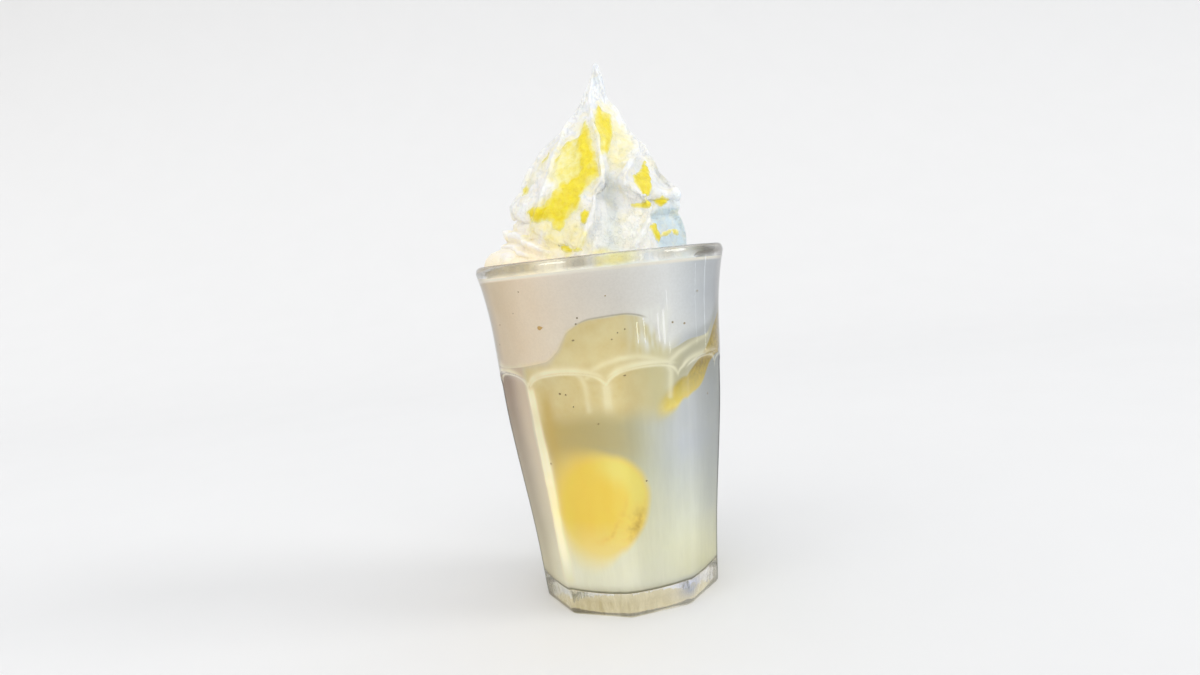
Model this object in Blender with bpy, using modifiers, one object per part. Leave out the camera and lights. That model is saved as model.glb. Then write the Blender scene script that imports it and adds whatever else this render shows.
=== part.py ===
"""A lemon milkshake in its glass.

A nine-sided tumbler with a round flared mouth holds pale lemon milk. A slice of
lemon leans in the milk with its rind against the wall, and a tall peak of piped
cream, streaked with thick lemon sauce, stands on top and reaches down inside.

Metres, +Z up. The origin is the middle of the underside of the glass. Angles are
taken round the upright axis from the front, which faces -Y, and grow towards +X.
"""

import math

import bmesh
import bpy
from mathutils import Vector

MM = 0.001

# Driving dimensions
RIM_RADIUS = 44.0 * MM
GLASS_HEIGHT = 121.0 * MM
FLOOR_HEIGHT = 7.0 * MM
CREAM_TOP = 188.0 * MM
CONTACT_HEIGHT = 117.0 * MM
GAP = 0.3 * MM

# The glass is cut into flat sides below a round mouth
FACETS = 9
COLUMNS = 72
FACET_PHASE = -2.75
HALF_FACET = 180.0 / FACETS
ARCH_FOOT = 80.6 * MM
ARCH_RISE = 4.0 * MM
SHOULDER = 3.6 * MM
FOOT_CHAMFER = 1.0 * MM
PUNT_RADIUS = 23.5 * MM
PUNT_DEPTH = 0.9 * MM
FLAT_HEIGHTS = (18.0 * MM, 34.0 * MM, 50.0 * MM, 64.0 * MM, 75.0 * MM)
ARCH_STEPS = (0.0, 0.5, 0.85, 1.0)
ROUND_HEIGHTS = (90.0 * MM, 98.0 * MM, 106.0 * MM, 112.5 * MM, 116.4 * MM)
SHARPEST_SMOOTH_GLASS = 24.0
SHARPEST_SMOOTH_FOOD = 40.0

# Height and radius of the outside, along the ridges between the flat sides
OUTER_WALL = (
    (0.0 * MM, 31.5 * MM),
    (24.0 * MM, 33.5 * MM),
    (52.0 * MM, 36.9 * MM),
    (68.0 * MM, 38.7 * MM),
    (84.0 * MM, 39.8 * MM),
    (100.0 * MM, 40.8 * MM),
    (112.0 * MM, 42.5 * MM),
    (118.6 * MM, RIM_RADIUS),
)

# Height and radius of the inside, straight between these points
ROUNDED_FLOOR_EDGE = 2.0 * MM
INNER_WALL = (
    (FLOOR_HEIGHT, 24.6 * MM),
    (7.8 * MM, 26.6 * MM),
    (9.6 * MM, 27.5 * MM),
    (12.0 * MM, 27.8 * MM),
    (80.0 * MM, 35.0 * MM),
    (90.0 * MM, 36.2 * MM),
    (100.0 * MM, 37.7 * MM),
    (108.0 * MM, 39.2 * MM),
    (115.0 * MM, 40.7 * MM),
    (119.4 * MM, 41.2 * MM),
)
LIP_MIDDLE_RADIUS = (RIM_RADIUS + INNER_WALL[-1][1]) / 2

# The rounded lip, from its widest point over the top to the inside
LIP_ROUND = (
    (118.6 * MM, RIM_RADIUS),
    (120.2 * MM, RIM_RADIUS - 0.4 * MM),
    (GLASS_HEIGHT, LIP_MIDDLE_RADIUS),
    (120.5 * MM, INNER_WALL[-1][1] + 0.3 * MM),
)

# Where the cream ends and the milk begins along the wall: angle and height
MILK_EDGE = (
    (-180.0, 96.0 * MM),
    (-140.0, 93.0 * MM),
    (-100.0, 88.0 * MM),
    (-68.0, 86.1 * MM),
    (-34.0, 88.2 * MM),
    (-26.0, 91.5 * MM),
    (-19.0, 97.6 * MM),
    (-7.0, 100.9 * MM),
    (8.0, 101.4 * MM),
    (21.0, 99.0 * MM),
    (32.0, 88.4 * MM),
    (45.0, 90.6 * MM),
    (58.0, 91.0 * MM),
    (76.0, 101.5 * MM),
    (100.0, 99.0 * MM),
    (140.0, 94.0 * MM),
    (180.0, 96.0 * MM),
)
MILK_CROWN = 107.0 * MM
MILK_CROWN_POWER = 4
DIVIDE_SHARES = (0.35, 0.65, 0.87)
WALL_POINTS_IN_MILK = 5

# The slice of lemon, a wheel that leans with its rind on the right of the wall
SLICE_RADIUS = 27.8 * MM
SLICE_THICKNESS = 7.0 * MM
RIND_BULGE = 2.4 * MM
RIND_ARC = (90.0, 60.0, 30.0, 0.0, -30.0, -60.0, -90.0)
SLICE_CENTRE = Vector((6.05 * MM, -5.55 * MM, 86.2 * MM))
SLICE_NORMAL = Vector((0.011, -0.626, 0.78))
SLICE_STEPS = 48

# Outline of the peak of cream: height, left edge and right edge
CREAM_OUTLINE = (
    (118.0 * MM, -34.5 * MM, 32.0 * MM),
    (130.0 * MM, -32.2 * MM, 31.6 * MM),
    (136.0 * MM, -29.6 * MM, 31.6 * MM),
    (141.0 * MM, -28.8 * MM, 30.0 * MM),
    (146.0 * MM, -25.6 * MM, 27.2 * MM),
    (152.5 * MM, -21.3 * MM, 22.6 * MM),
    (159.0 * MM, -15.9 * MM, 18.6 * MM),
    (164.5 * MM, -9.8 * MM, 14.4 * MM),
    (171.0 * MM, -3.2 * MM, 11.6 * MM),
    (175.0 * MM, -0.2 * MM, 8.8 * MM),
    (182.0 * MM, 3.4 * MM, 7.8 * MM),
    (CREAM_TOP, 5.5 * MM, 6.3 * MM),
)

# Crests of the piped pleats, front ones first seen from the left: height and
# angle from the tip down, then how deep the hollow after the crest is
PLEATS = (
    (((188, -150), (171, -118), (159, -86), (144, -71), (123, -86)), 0.12),
    (((188, -110), (171, -76), (159, -41), (144, -36), (123, -50)), 0.13),
    (((188, -60), (171, -12), (159, 9), (144, 8), (139, 0), (123, -8)), 0.27),
    (((188, -10), (171, 83), (159, 67), (144, 22), (135, 35), (123, 28)), 0.22),
    (((188, 60), (171, 118), (152, 78), (144, 77), (139, 66), (123, 75)), 0.24),
    (((188, 105), (171, 150), (152, 125), (123, 120)), 0.28),
    (((188, 150), (171, 190), (152, 170), (123, 170)), 0.30),
    (((188, 200), (171, 235), (152, 222), (123, 226)), 0.24),
)
COLUMNS_PER_PLEAT = COLUMNS // len(PLEATS)
FIRST_PLUG_COLUMN = -17

# Share of the full hollow depth that shows, by height in millimetres
HOLLOW_DEPTH = ((118.0, 0.25), (132.0, 0.6), (142.0, 1.0), (180.0, 1.0), (188.0, 0.3))

# The upper swirl hangs over the lower one: angle, height of the lip, overhang
LIP = (
    (-180.0, 138.5 * MM, 2.6 * MM),
    (-90.0, 138.2 * MM, 3.4 * MM),
    (-60.0, 136.6 * MM, 3.6 * MM),
    (-40.0, 131.5 * MM, 3.0 * MM),
    (-22.0, 126.5 * MM, 2.2 * MM),
    (-6.0, 126.0 * MM, 0.0 * MM),
    (26.0, 138.0 * MM, 0.0 * MM),
    (38.0, 139.0 * MM, 2.2 * MM),
    (90.0, 139.4 * MM, 1.8 * MM),
    (180.0, 138.5 * MM, 2.6 * MM),
)

FULL_DROOP_TUCK = 2.0 * MM
LIP_START = 138.0 * MM

# Shares of the way up a column of cream, below its lip and above it
STEPS_BELOW_LIP = (0.0, 0.3, 0.6, 0.85, 1.0)
STEPS_ABOVE_LIP = (0.05, 0.11, 0.18, 0.25, 0.32, 0.39, 0.46, 0.53, 0.6, 0.67, 0.74, 0.82, 0.91, 1.0)

# Where the skirt of cream is heaped up to the rim, on the left
HEAP_ANGLE = -82.0
HEAP_SPREAD = 52.0
HEAP_RISE = 5.5 * MM
SKIRT_FOOT = 121.0 * MM

# Rings of the skirt: radius and rise where level, radius and rise where heaped
SKIRT_RINGS = ((37.6 * MM, 0.3 * MM, 40.2 * MM, 4.8 * MM), (35.0 * MM, 1.2 * MM, 37.4 * MM, 8.1 * MM))
PLUG_STEPS = (0.4, 1.0)

# Thick sauce: angle, height, half width, half height, slant and thickness
SAUCE = (
    (-45.0, 137.6, 3.0, 3.2, 0.0, 1.0),
    (-32.0, 138.4, 5.4, 3.2, 12.0, 1.0),
    (-19.0, 140.6, 5.0, 4.0, 25.0, 1.0),
    (-13.0, 145.6, 4.0, 4.6, 20.0, 0.9),
    (-25.0, 133.2, 3.2, 3.6, -15.0, 0.9),
    (-8.0, 133.8, 1.5, 2.8, 0.0, 0.8),
    (-6.0, 155.5, 2.2, 7.6, -6.0, 0.7),
    (21.0, 161.0, 1.9, 7.4, 14.0, 0.8),
    (40.0, 144.0, 2.9, 5.8, 8.0, 0.9),
    (28.0, 136.4, 3.6, 1.2, 8.0, 0.7),
    (47.0, 136.6, 2.9, 1.5, 0.0, 0.9),
    (38.0, 126.6, 1.4, 3.4, -18.0, 0.8),
    (-17.0, 123.4, 1.8, 1.5, 0.0, 0.8),
    (-63.0, 147.0, 1.4, 2.6, 20.0, 0.7),
)
SAUCE_SIDES = 12
SAUCE_STEPS = (0.45, 0.8, 0.98)
SAUCE_ROOT = 0.9 * MM
SAUCE_ROOT_STEP = 0.9


def smooth_path(points, at):
    """A smooth curve through (position, value) points, with no overshoot."""
    if points[0][0] > points[-1][0]:
        points = points[::-1]
    if at <= points[0][0]:
        return points[0][1]
    if at >= points[-1][0]:
        return points[-1][1]
    spans = [(b[0] - a[0], b[1] - a[1]) for a, b in zip(points, points[1:])]
    slopes = [rise / run for run, rise in spans]
    tangents = [slopes[0]]
    for before, after in zip(slopes, slopes[1:]):
        level = before * after <= 0.0
        tangents.append(0.0 if level else 2.0 * before * after / (before + after))
    tangents.append(slopes[-1])
    index = next(i for i in range(len(spans)) if at <= points[i + 1][0])
    run = spans[index][0]
    t = (at - points[index][0]) / run
    start = points[index][1]
    end = points[index + 1][1]
    return (
        start * (1 + 2 * t) * (1 - t) ** 2
        + end * t * t * (3 - 2 * t)
        + run * tangents[index] * t * (1 - t) ** 2
        - run * tangents[index + 1] * t * t * (1 - t)
    )


def straight_path(points, at):
    """Straight lines through (position, value) points."""
    if at <= points[0][0]:
        return points[0][1]
    for (start, low), (end, high) in zip(points, points[1:]):
        if at <= end:
            return low + (high - low) * (at - start) / (end - start)
    return points[-1][1]


def wrapped(angle):
    """The angle between -180 and 180 degrees."""
    return (angle + 180.0) % 360.0 - 180.0


def at_angle(angle, radius, height, centre=0.0):
    """A point round the axis, or round an axis moved along X."""
    turn = math.radians(angle)
    return Vector((centre + radius * math.sin(turn), -radius * math.cos(turn), height))


def column_angle(column):
    return FACET_PHASE + 360.0 * column / COLUMNS


def plug_angle(column):
    """Angle of a column of the cream inside the glass, in step with its pleats."""
    return column_angle(column + FIRST_PLUG_COLUMN)


def principled(name, colour, roughness, transmission=0.0):
    """A plain finish for one piece."""
    material = bpy.data.materials.new(name)
    material.use_nodes = True
    shader = material.node_tree.nodes["Principled BSDF"]
    shader.inputs["Base Color"].default_value = (*colour, 1.0)
    shader.inputs["Roughness"].default_value = roughness
    shader.inputs["Metallic"].default_value = 0.0
    shader.inputs["Transmission Weight"].default_value = transmission
    material.diffuse_color = (*colour, 1.0)
    return material


def add_object(name, mesh, material, collection, sharp_angle=SHARPEST_SMOOTH_FOOD):
    """Link a mesh as an object with its material and smooth shading."""
    mesh.shade_smooth()
    mesh.set_sharp_from_angle(angle=math.radians(sharp_angle))
    mesh.materials.clear()
    mesh.materials.append(material)
    piece = bpy.data.objects.new(name, mesh)
    collection.objects.link(piece)
    return piece


def closed_loft(name, first_pole, rings, last_pole):
    """A closed skin over rings of points, drawn to a point at each end."""
    shape = bmesh.new()
    rows = [[shape.verts.new(point) for point in ring] for ring in rings]
    count = len(rows[0])
    for pole, row in ((first_pole, rows[0]), (last_pole, rows[-1])):
        tip = shape.verts.new(pole)
        for i in range(count):
            shape.faces.new((tip, row[i], row[(i + 1) % count]))
    for lower, upper in zip(rows, rows[1:]):
        for i in range(count):
            j = (i + 1) % count
            shape.faces.new((lower[i], lower[j], upper[j], upper[i]))
    bmesh.ops.triangulate(shape, faces=shape.faces[:])
    bmesh.ops.recalc_face_normals(shape, faces=shape.faces[:])
    mesh = bpy.data.meshes.new(name)
    shape.to_mesh(mesh)
    shape.free()
    return mesh


# The glass

def facet_offset(angle):
    """How far an angle lies from the middle of its flat side, in degrees."""
    return (angle - FACET_PHASE) % (2 * HALF_FACET) - HALF_FACET


def arch_height(angle):
    """Height of the arch that ends the flat side at this angle."""
    share = min(1.0, abs(facet_offset(angle)) / HALF_FACET)
    return ARCH_FOOT + ARCH_RISE * math.sqrt(1.0 - share * share)


def facet_radius(angle, height):
    """Radius of the flat side at this angle and height."""
    ridge = smooth_path(OUTER_WALL, height)
    flat = math.cos(math.radians(HALF_FACET))
    return ridge * flat / math.cos(math.radians(facet_offset(angle)))


def facet_ring(height):
    return [at_angle(column_angle(c), facet_radius(column_angle(c), height), height)
            for c in range(COLUMNS)]


def shoulder_ring(share):
    """A ring that follows the arches: share 0 is on the flats, 1 on the round."""
    ring = []
    for column in range(COLUMNS):
        angle = column_angle(column)
        height = arch_height(angle) - SHOULDER * (1.0 - share)
        flat = facet_radius(angle, height)
        full = smooth_path(OUTER_WALL, height)
        hollow = 1.0 - math.sqrt(1.0 - share * share)
        ring.append(at_angle(angle, flat + (full - flat) * hollow, height))
    return ring


def round_ring(radius, height):
    return [at_angle(column_angle(c), radius, height) for c in range(COLUMNS)]


def glass_rings():
    """Rings from the middle of the underside, up the outside and down inside."""
    rings = [
        round_ring(PUNT_RADIUS * 0.6, PUNT_DEPTH * 0.8),
        round_ring(PUNT_RADIUS, 0.0),
    ]
    foot = facet_ring(FOOT_CHAMFER)
    flat_foot = [Vector((p.x, p.y, 0.0)) * (1.0 - FOOT_CHAMFER / p.xy.length) for p in foot]
    rings += [flat_foot, foot]
    rings += [facet_ring(height) for height in FLAT_HEIGHTS]
    rings += [shoulder_ring(share) for share in ARCH_STEPS]
    rings += [round_ring(smooth_path(OUTER_WALL, height), height) for height in ROUND_HEIGHTS]
    rings += [round_ring(radius, height) for height, radius in LIP_ROUND + INNER_WALL[::-1]]
    return rings


def make_glass(collection):
    material = principled("clear_glass", (0.93, 0.95, 0.93), 0.04, transmission=1.0)
    underside = Vector((0.0, 0.0, PUNT_DEPTH))
    floor = Vector((0.0, 0.0, FLOOR_HEIGHT))
    mesh = closed_loft("glass", underside, glass_rings(), floor)
    return add_object("glass", mesh, material, collection, SHARPEST_SMOOTH_GLASS)


# The milk and what divides it from the cream

def inside_radius(height):
    """Radius of what fills the glass, clear of its wall."""
    return straight_path(INNER_WALL, height) - GAP


def divide_point(angle, share, side):
    """A point of the surface between milk and cream: side -1 is the milk's.

    The share runs from 0 on the axis to 1 at the wall, where the surface dips.
    """
    edge = smooth_path(MILK_EDGE, wrapped(angle))
    height = edge + (MILK_CROWN - edge) * (1.0 - share ** MILK_CROWN_POWER) + side * GAP / 2
    radius = share * inside_radius(edge + side * GAP / 2)
    return at_angle(angle, radius, height)


def divide_ring(share, side, angle_of):
    return [divide_point(angle_of(c), share, side) for c in range(COLUMNS)]


def make_milk(collection):
    """Pale lemon milk from the floor up to the cream, round the slice."""
    material = principled("lemon_milk", (0.86, 0.85, 0.62), 0.25)
    rings = []
    for height, radius in INNER_WALL[:WALL_POINTS_IN_MILK]:
        lift = GAP if height < FLOOR_HEIGHT + ROUNDED_FLOOR_EDGE else 0.0
        rings.append(round_ring(radius - GAP, height + lift))
    rings.append(divide_ring(1.0, -1, column_angle))
    rings += [divide_ring(share, -1, column_angle) for share in DIVIDE_SHARES[::-1]]
    floor = Vector((0.0, 0.0, FLOOR_HEIGHT + GAP))
    crown = divide_point(0.0, 0.0, -1)
    mesh = closed_loft("lemon_milk", floor, rings, crown)
    return add_object("lemon_milk", mesh, material, collection)


# The slice of lemon

def slice_profile(grow):
    """Half of the slice's outline, from the axis over the rind and back."""
    half = SLICE_THICKNESS / 2 + grow
    radius = SLICE_RADIUS + grow
    arc = [math.radians(angle) for angle in RIND_ARC]
    rind = [(radius - RIND_BULGE + RIND_BULGE * math.cos(a), half * math.sin(a)) for a in arc]
    return [(0.0, half), *rind, (0.0, -half)]


def turned_mesh(name, profile, steps):
    """A profile turned about Z by a Screw modifier and made a mesh."""
    outline = bpy.data.meshes.new(name)
    edges = [(i, i + 1) for i in range(len(profile) - 1)]
    outline.from_pydata([(x, 0.0, z) for x, z in profile], edges, [])
    blank = bpy.data.objects.new(name, outline)
    bpy.context.scene.collection.objects.link(blank)
    screw = blank.modifiers.new("turn", "SCREW")
    screw.steps = steps
    screw.render_steps = steps
    screw.use_merge_vertices = True
    screw.merge_threshold = 0.01 * MM
    depsgraph = bpy.context.evaluated_depsgraph_get()
    mesh = bpy.data.meshes.new_from_object(blank.evaluated_get(depsgraph))
    bpy.data.objects.remove(blank)
    bpy.data.meshes.remove(outline)
    return mesh


def place_slice(piece):
    piece.location = SLICE_CENTRE
    piece.rotation_euler = SLICE_NORMAL.to_track_quat("Z", "Y").to_euler()
    return piece


def make_slice(collection):
    material = principled("lemon", (0.88, 0.74, 0.16), 0.35)
    mesh = turned_mesh("lemon_slice", slice_profile(0.0), SLICE_STEPS)
    return place_slice(add_object("lemon_slice", mesh, material, collection))


def cut_milk_round_slice(milk, cutters):
    """Leave room for the slice in the milk, as a Boolean cut."""
    mesh = turned_mesh("slice_room", slice_profile(GAP), SLICE_STEPS)
    room = bpy.data.objects.new("slice_room", mesh)
    cutters.objects.link(room)
    place_slice(room)
    room.hide_render = True
    room.display_type = "WIRE"
    cut = milk.modifiers.new("room for the slice", "BOOLEAN")
    cut.operation = "DIFFERENCE"
    cut.object = room


# The cream

def crest_angle(index, height):
    """Angle of a pleat's crest, which may lie past a whole turn."""
    turns, pleat = divmod(index, len(PLEATS))
    return smooth_path(PLEATS[pleat][0], height / MM) + 360.0 * turns


def column_turn(column, height):
    """Angle of a column of the cream at this height, between two crests."""
    pleat, step = divmod(column, COLUMNS_PER_PLEAT)
    share = step / COLUMNS_PER_PLEAT
    before = crest_angle(pleat, height)
    return before + (crest_angle(pleat + 1, height) - before) * share


def pleat_at(angle, height):
    """Which pleat an angle lies in, and how far across it, from 0 to 1."""
    first = crest_angle(0, height)
    turn = first + (angle - first) % 360.0
    for pleat in range(len(PLEATS)):
        before = crest_angle(pleat, height)
        after = crest_angle(pleat + 1, height)
        if turn <= after:
            return pleat, (turn - before) / (after - before)
    return 0, 0.0


def outline_at(height):
    """Middle and half width of the cream's outline at this height."""
    left = smooth_path([(z, low) for z, low, high in CREAM_OUTLINE], height)
    right = smooth_path([(z, high) for z, low, high in CREAM_OUTLINE], height)
    return (left + right) / 2, (right - left) / 2


def hollow_depth(height):
    """Share of the full pleat depth that shows at this height."""
    return smooth_path(HOLLOW_DEPTH, height / MM)


def cream_point(pleat, share, angle, height, tuck=0.0):
    """A point of the cream's pleated side, drawn in by the tuck."""
    centre, half_width = outline_at(height)
    depth = PLEATS[pleat][1] * hollow_depth(height)
    radius = half_width * (1.0 - depth * math.sin(math.pi * share)) - tuck
    return at_angle(angle, radius, height, centre)


def lip_at(angle):
    turn = wrapped(angle)
    height = smooth_path([(a, z) for a, z, tuck in LIP], turn)
    tuck = smooth_path([(a, tuck) for a, z, tuck in LIP], turn)
    return height, tuck


def heap_at(angle):
    """How far the skirt is heaped up at this angle, from 0 to 1."""
    distance = abs(wrapped(angle - HEAP_ANGLE)) / HEAP_SPREAD
    return max(0.0, 1.0 - distance * distance) ** 2


def side_rows(column):
    """Points up one column of the peak, from its skirt to just under the tip."""
    pleat, step = divmod(column, COLUMNS_PER_PLEAT)
    share = step / COLUMNS_PER_PLEAT
    lip = LIP_START
    for _ in range(4):
        lip, tuck = lip_at(column_turn(column, lip))
    foot = SKIRT_FOOT + HEAP_RISE * heap_at(column_turn(column, SKIRT_FOOT))
    under = lip - 1.6 * MM
    levels = [(foot + (under - foot) * f, tuck * f ** 3) for f in STEPS_BELOW_LIP]
    droop = min(1.0, tuck / FULL_DROOP_TUCK)
    levels += [
        (lip + (0.5 * droop - 1.0) * MM, tuck),
        (lip - (0.6 * droop + 0.4) * MM, tuck * 0.35),
        (lip + 0.2 * MM, 0.0),
    ]
    top = CREAM_TOP - 0.8 * MM
    start = lip + 0.2 * MM
    levels += [(start + (top - start) * f, 0.0) for f in STEPS_ABOVE_LIP]
    return [cream_point(pleat, share, column_turn(column, height), height, inset)
            for height, inset in levels]


def skirt_ring(radius, rise, heap_radius, heap_rise):
    """A ring of the cream's surface between the wall and the peak."""
    ring = []
    for column in range(COLUMNS):
        angle = column_turn(column, SKIRT_FOOT)
        heap = heap_at(angle)
        reach = radius + (heap_radius - radius) * heap
        lift = rise + (heap_rise - rise) * heap
        ring.append(at_angle(angle, reach, CONTACT_HEIGHT + lift))
    return ring


def make_cream_body():
    """The whole cream: the plug inside the glass, its skirt and its peak."""
    rings = [divide_ring(share, 1, plug_angle) for share in DIVIDE_SHARES]
    rings.append(divide_ring(1.0, 1, plug_angle))
    for share in PLUG_STEPS:
        ring = []
        for column in range(COLUMNS):
            angle = plug_angle(column)
            edge = smooth_path(MILK_EDGE, wrapped(angle)) + GAP / 2
            height = edge + (CONTACT_HEIGHT - edge) * share
            ring.append(at_angle(angle, inside_radius(height), height))
        rings.append(ring)
    rings += [skirt_ring(*values) for values in SKIRT_RINGS]
    columns = [side_rows(column) for column in range(COLUMNS)]
    rings += [list(row) for row in zip(*columns)]
    centre, _ = outline_at(CREAM_TOP)
    crown = divide_point(0.0, 0.0, 1)
    tip = Vector((centre, 0.0, CREAM_TOP))
    return closed_loft("whipped_cream", crown, rings, tip)


def cream_surface(angle, height, lift):
    """A point at a distance above the pleated surface, for the sauce."""
    pleat, share = pleat_at(angle, height)
    lip, tuck = lip_at(angle)
    rise = (height - SKIRT_FOOT) / (lip - SKIRT_FOOT)
    inset = tuck * max(0.0, rise) ** 3 if rise < 1.0 else 0.0
    return cream_point(pleat, share, angle, height, inset - lift)


def sauce_drop(angle, height, half_width, half_height, slant, thickness):
    """A thick drop that follows the cream and is rooted in it."""
    _, radius = outline_at(height * MM)
    lean = math.radians(slant)

    def point(share, side, lift):
        turn = 2 * math.pi * side / SAUCE_SIDES
        across = share * half_width * math.cos(turn)
        up = share * half_height * math.sin(turn)
        x = across * math.cos(lean) - up * math.sin(lean)
        z = across * math.sin(lean) + up * math.cos(lean)
        swing = math.degrees(x * MM / radius)
        return cream_surface(angle + swing, (height + z) * MM, lift)

    rings = []
    for share in SAUCE_STEPS:
        rise = thickness * MM * math.sqrt(1.0 - share ** 4)
        rings.append([point(share, side, rise) for side in range(SAUCE_SIDES)])
    rings.append([point(SAUCE_ROOT_STEP, side, -SAUCE_ROOT) for side in range(SAUCE_SIDES)])
    top = point(0.0, 0, thickness * MM)
    root = point(0.0, 0, -SAUCE_ROOT)
    return closed_loft("sauce_drop", top, rings, root)


def make_cream(collection):
    """The cream with its thick sauce joined on by one union."""
    material = principled("whipped_cream", (0.93, 0.91, 0.84), 0.5)
    cream = add_object("whipped_cream", make_cream_body(), material, collection)
    drops = bpy.data.collections.new("sauce drops")
    bpy.context.scene.collection.children.link(drops)
    for values in SAUCE:
        add_object("sauce_drop", sauce_drop(*values), material, drops)
    join = cream.modifiers.new("sauce", "BOOLEAN")
    join.operation = "UNION"
    join.operand_type = "COLLECTION"
    join.collection = drops
    depsgraph = bpy.context.evaluated_depsgraph_get()
    joined = bpy.data.meshes.new_from_object(cream.evaluated_get(depsgraph))
    cream.modifiers.clear()
    cream.data = joined
    for drop in list(drops.objects):
        bpy.data.objects.remove(drop)
    bpy.data.collections.remove(drops)
    return cream


def main():
    for piece in list(bpy.data.objects):
        bpy.data.objects.remove(piece)
    milkshake = bpy.data.collections.new("lemon milkshake")
    cutters = bpy.data.collections.new("cutters")
    bpy.context.scene.collection.children.link(milkshake)
    bpy.context.scene.collection.children.link(cutters)
    make_glass(milkshake)
    milk = make_milk(milkshake)
    make_slice(milkshake)
    cut_milk_round_slice(milk, cutters)
    make_cream(milkshake)


main()
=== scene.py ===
"""The looks of a lemon milkshake in its glass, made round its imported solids.

Lengths are in millimetres and become metres where a mesh or a light is made. Angles are in
degrees round the upright axis, from the front, which faces -Y, and grow towards +X. Colours
are written as a screen shows them, from 0 to 255.
"""

import math
from itertools import product

import bpy
import numpy as np
from mathutils import Matrix, Vector


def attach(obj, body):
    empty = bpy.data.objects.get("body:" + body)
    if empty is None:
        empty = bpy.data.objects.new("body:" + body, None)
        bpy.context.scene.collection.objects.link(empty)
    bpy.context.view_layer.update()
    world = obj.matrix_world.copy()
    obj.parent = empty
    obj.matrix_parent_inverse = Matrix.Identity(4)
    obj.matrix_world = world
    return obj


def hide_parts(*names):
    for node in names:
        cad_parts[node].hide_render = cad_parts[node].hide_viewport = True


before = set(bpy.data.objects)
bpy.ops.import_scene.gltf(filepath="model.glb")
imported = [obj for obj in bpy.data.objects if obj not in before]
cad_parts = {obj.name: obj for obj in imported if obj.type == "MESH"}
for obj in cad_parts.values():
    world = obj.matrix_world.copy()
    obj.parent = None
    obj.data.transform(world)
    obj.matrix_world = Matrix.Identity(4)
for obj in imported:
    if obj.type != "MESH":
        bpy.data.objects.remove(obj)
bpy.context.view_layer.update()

MM = 0.001
WHOLE_TURN = 360
FAR = 1e9
TINY = 1e-9

# Driving sizes, the same as the solids'
RIM_RADIUS = 44
GLASS_HEIGHT = 121
FLOOR_HEIGHT = 7
CREAM_TOP = 188
CONTACT_HEIGHT = 117

# The glass, with its walls as heights and radii
FACETS = 9
FACET_PHASE = -2.75
HALF_FACET = 180 / FACETS
RIDGE_ROUNDING = 3
ARCH_FOOT = 80.6
ARCH_RISE = 4
SHOULDER = 3.6
FOOT_ROUNDING = 1
PUNT_RADIUS = 23.5
PUNT_DEPTH = 0.9
LIP_FOOT = 118.6
OUTER_WALL = (
    (0, 31.5), (24, 33.5), (52, 36.9), (68, 38.7), (84, 39.8), (100, 40.8), (112, 42.5),
    (LIP_FOOT, RIM_RADIUS),
)
INNER_WALL = (
    (FLOOR_HEIGHT, 24.6), (7.8, 26.6), (9.6, 27.5), (12, 27.8), (80, 35), (90, 36.2), (100, 37.7),
    (108, 39.2), (115, 40.7), (119.4, 41.2),
)
COLUMNS_PER_FACET = 26
RIDGE_CROWDING = 0.8

# How far the contents reach into the wall, so that no air shows between them
MILK_REACH = 0.15
CREAM_REACH = 0.2
LEMON_REACH = 0.25

# Where the cream ends and the milk begins along the wall: angle and height
MILK_EDGE = (
    (-180, 96), (-140, 93), (-100, 88), (-68, 86.1), (-34, 88.2), (-26, 91.5), (-19, 97.6), (-7, 100.9),
    (8, 101.4), (21, 99), (32, 88.4), (45, 90.6), (58, 91), (76, 101.5), (100, 99), (140, 94), (180, 96),
)
MILK_CROWN = 107
MILK_CROWN_POWER = 4
DIVIDE_SHARES = (0.35, 0.65, 0.87, 0.97)
MILK_LAP = 0.4
EDGE_SHARE = 0.0012
MILK_COLUMNS = 480
MILK_ROWS = 190
MILK_FOOT_LEVELS = (FLOOR_HEIGHT, 7.3, 7.8, 8.6, 9.6, 10.8)
MILK_FLOOR_SHARES = (0.3, 0.6, 0.85)
MILK_SUNK_BELOW = 9
MILK_WALL_FOOT = 12

# The slice of lemon
SLICE_RADIUS = 27.8
SLICE_THICKNESS = 7
RIND_BULGE = 2.4
SLICE_CENTRE = (6.05, -5.55, 86.2)
SLICE_NORMAL = (0.011, -0.626, 0.78)
SEGMENTS = 10
SLICE_COLUMNS = 240
FLESH_END = SLICE_RADIUS - 4.4
PITH_RADII = (SLICE_RADIUS - 3.4, SLICE_RADIUS - 2.8)

# The cream: its outline as height, left and right, and its pleats, each as a path of heights
# and angles with the depth of its hollow
CREAM_OUTLINE = (
    (118, -34.5, 32), (130, -32.2, 31.6), (136, -29.6, 31.6), (141, -28.8, 30), (146, -25.6, 27.2),
    (152.5, -21.3, 22.6), (159, -15.9, 18.6), (164.5, -9.8, 14.4), (171, -3.2, 11.6), (175, -0.2, 8.8),
    (182, 3.4, 7.8), (CREAM_TOP, 5.5, 6.3),
)
PLEATS = (
    (((188, -150), (171, -118), (159, -86), (144, -71), (123, -86)), 0.12),
    (((188, -110), (171, -76), (159, -41), (144, -36), (123, -50)), 0.13),
    (((188, -60), (171, -12), (159, 9), (144, 8), (139, 0), (123, -8)), 0.27),
    (((188, -10), (171, 83), (159, 67), (144, 22), (135, 35), (123, 28)), 0.22),
    (((188, 60), (171, 118), (152, 78), (144, 77), (139, 66), (123, 75)), 0.24),
    (((188, 105), (171, 150), (152, 125), (123, 120)), 0.28),
    (((188, 150), (171, 190), (152, 170), (123, 170)), 0.30),
    (((188, 200), (171, 235), (152, 222), (123, 226)), 0.24),
)
HOLLOW_DEPTH = ((118, 0.25), (132, 0.6), (142, 1), (180, 1), (188, 0.3))
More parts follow.
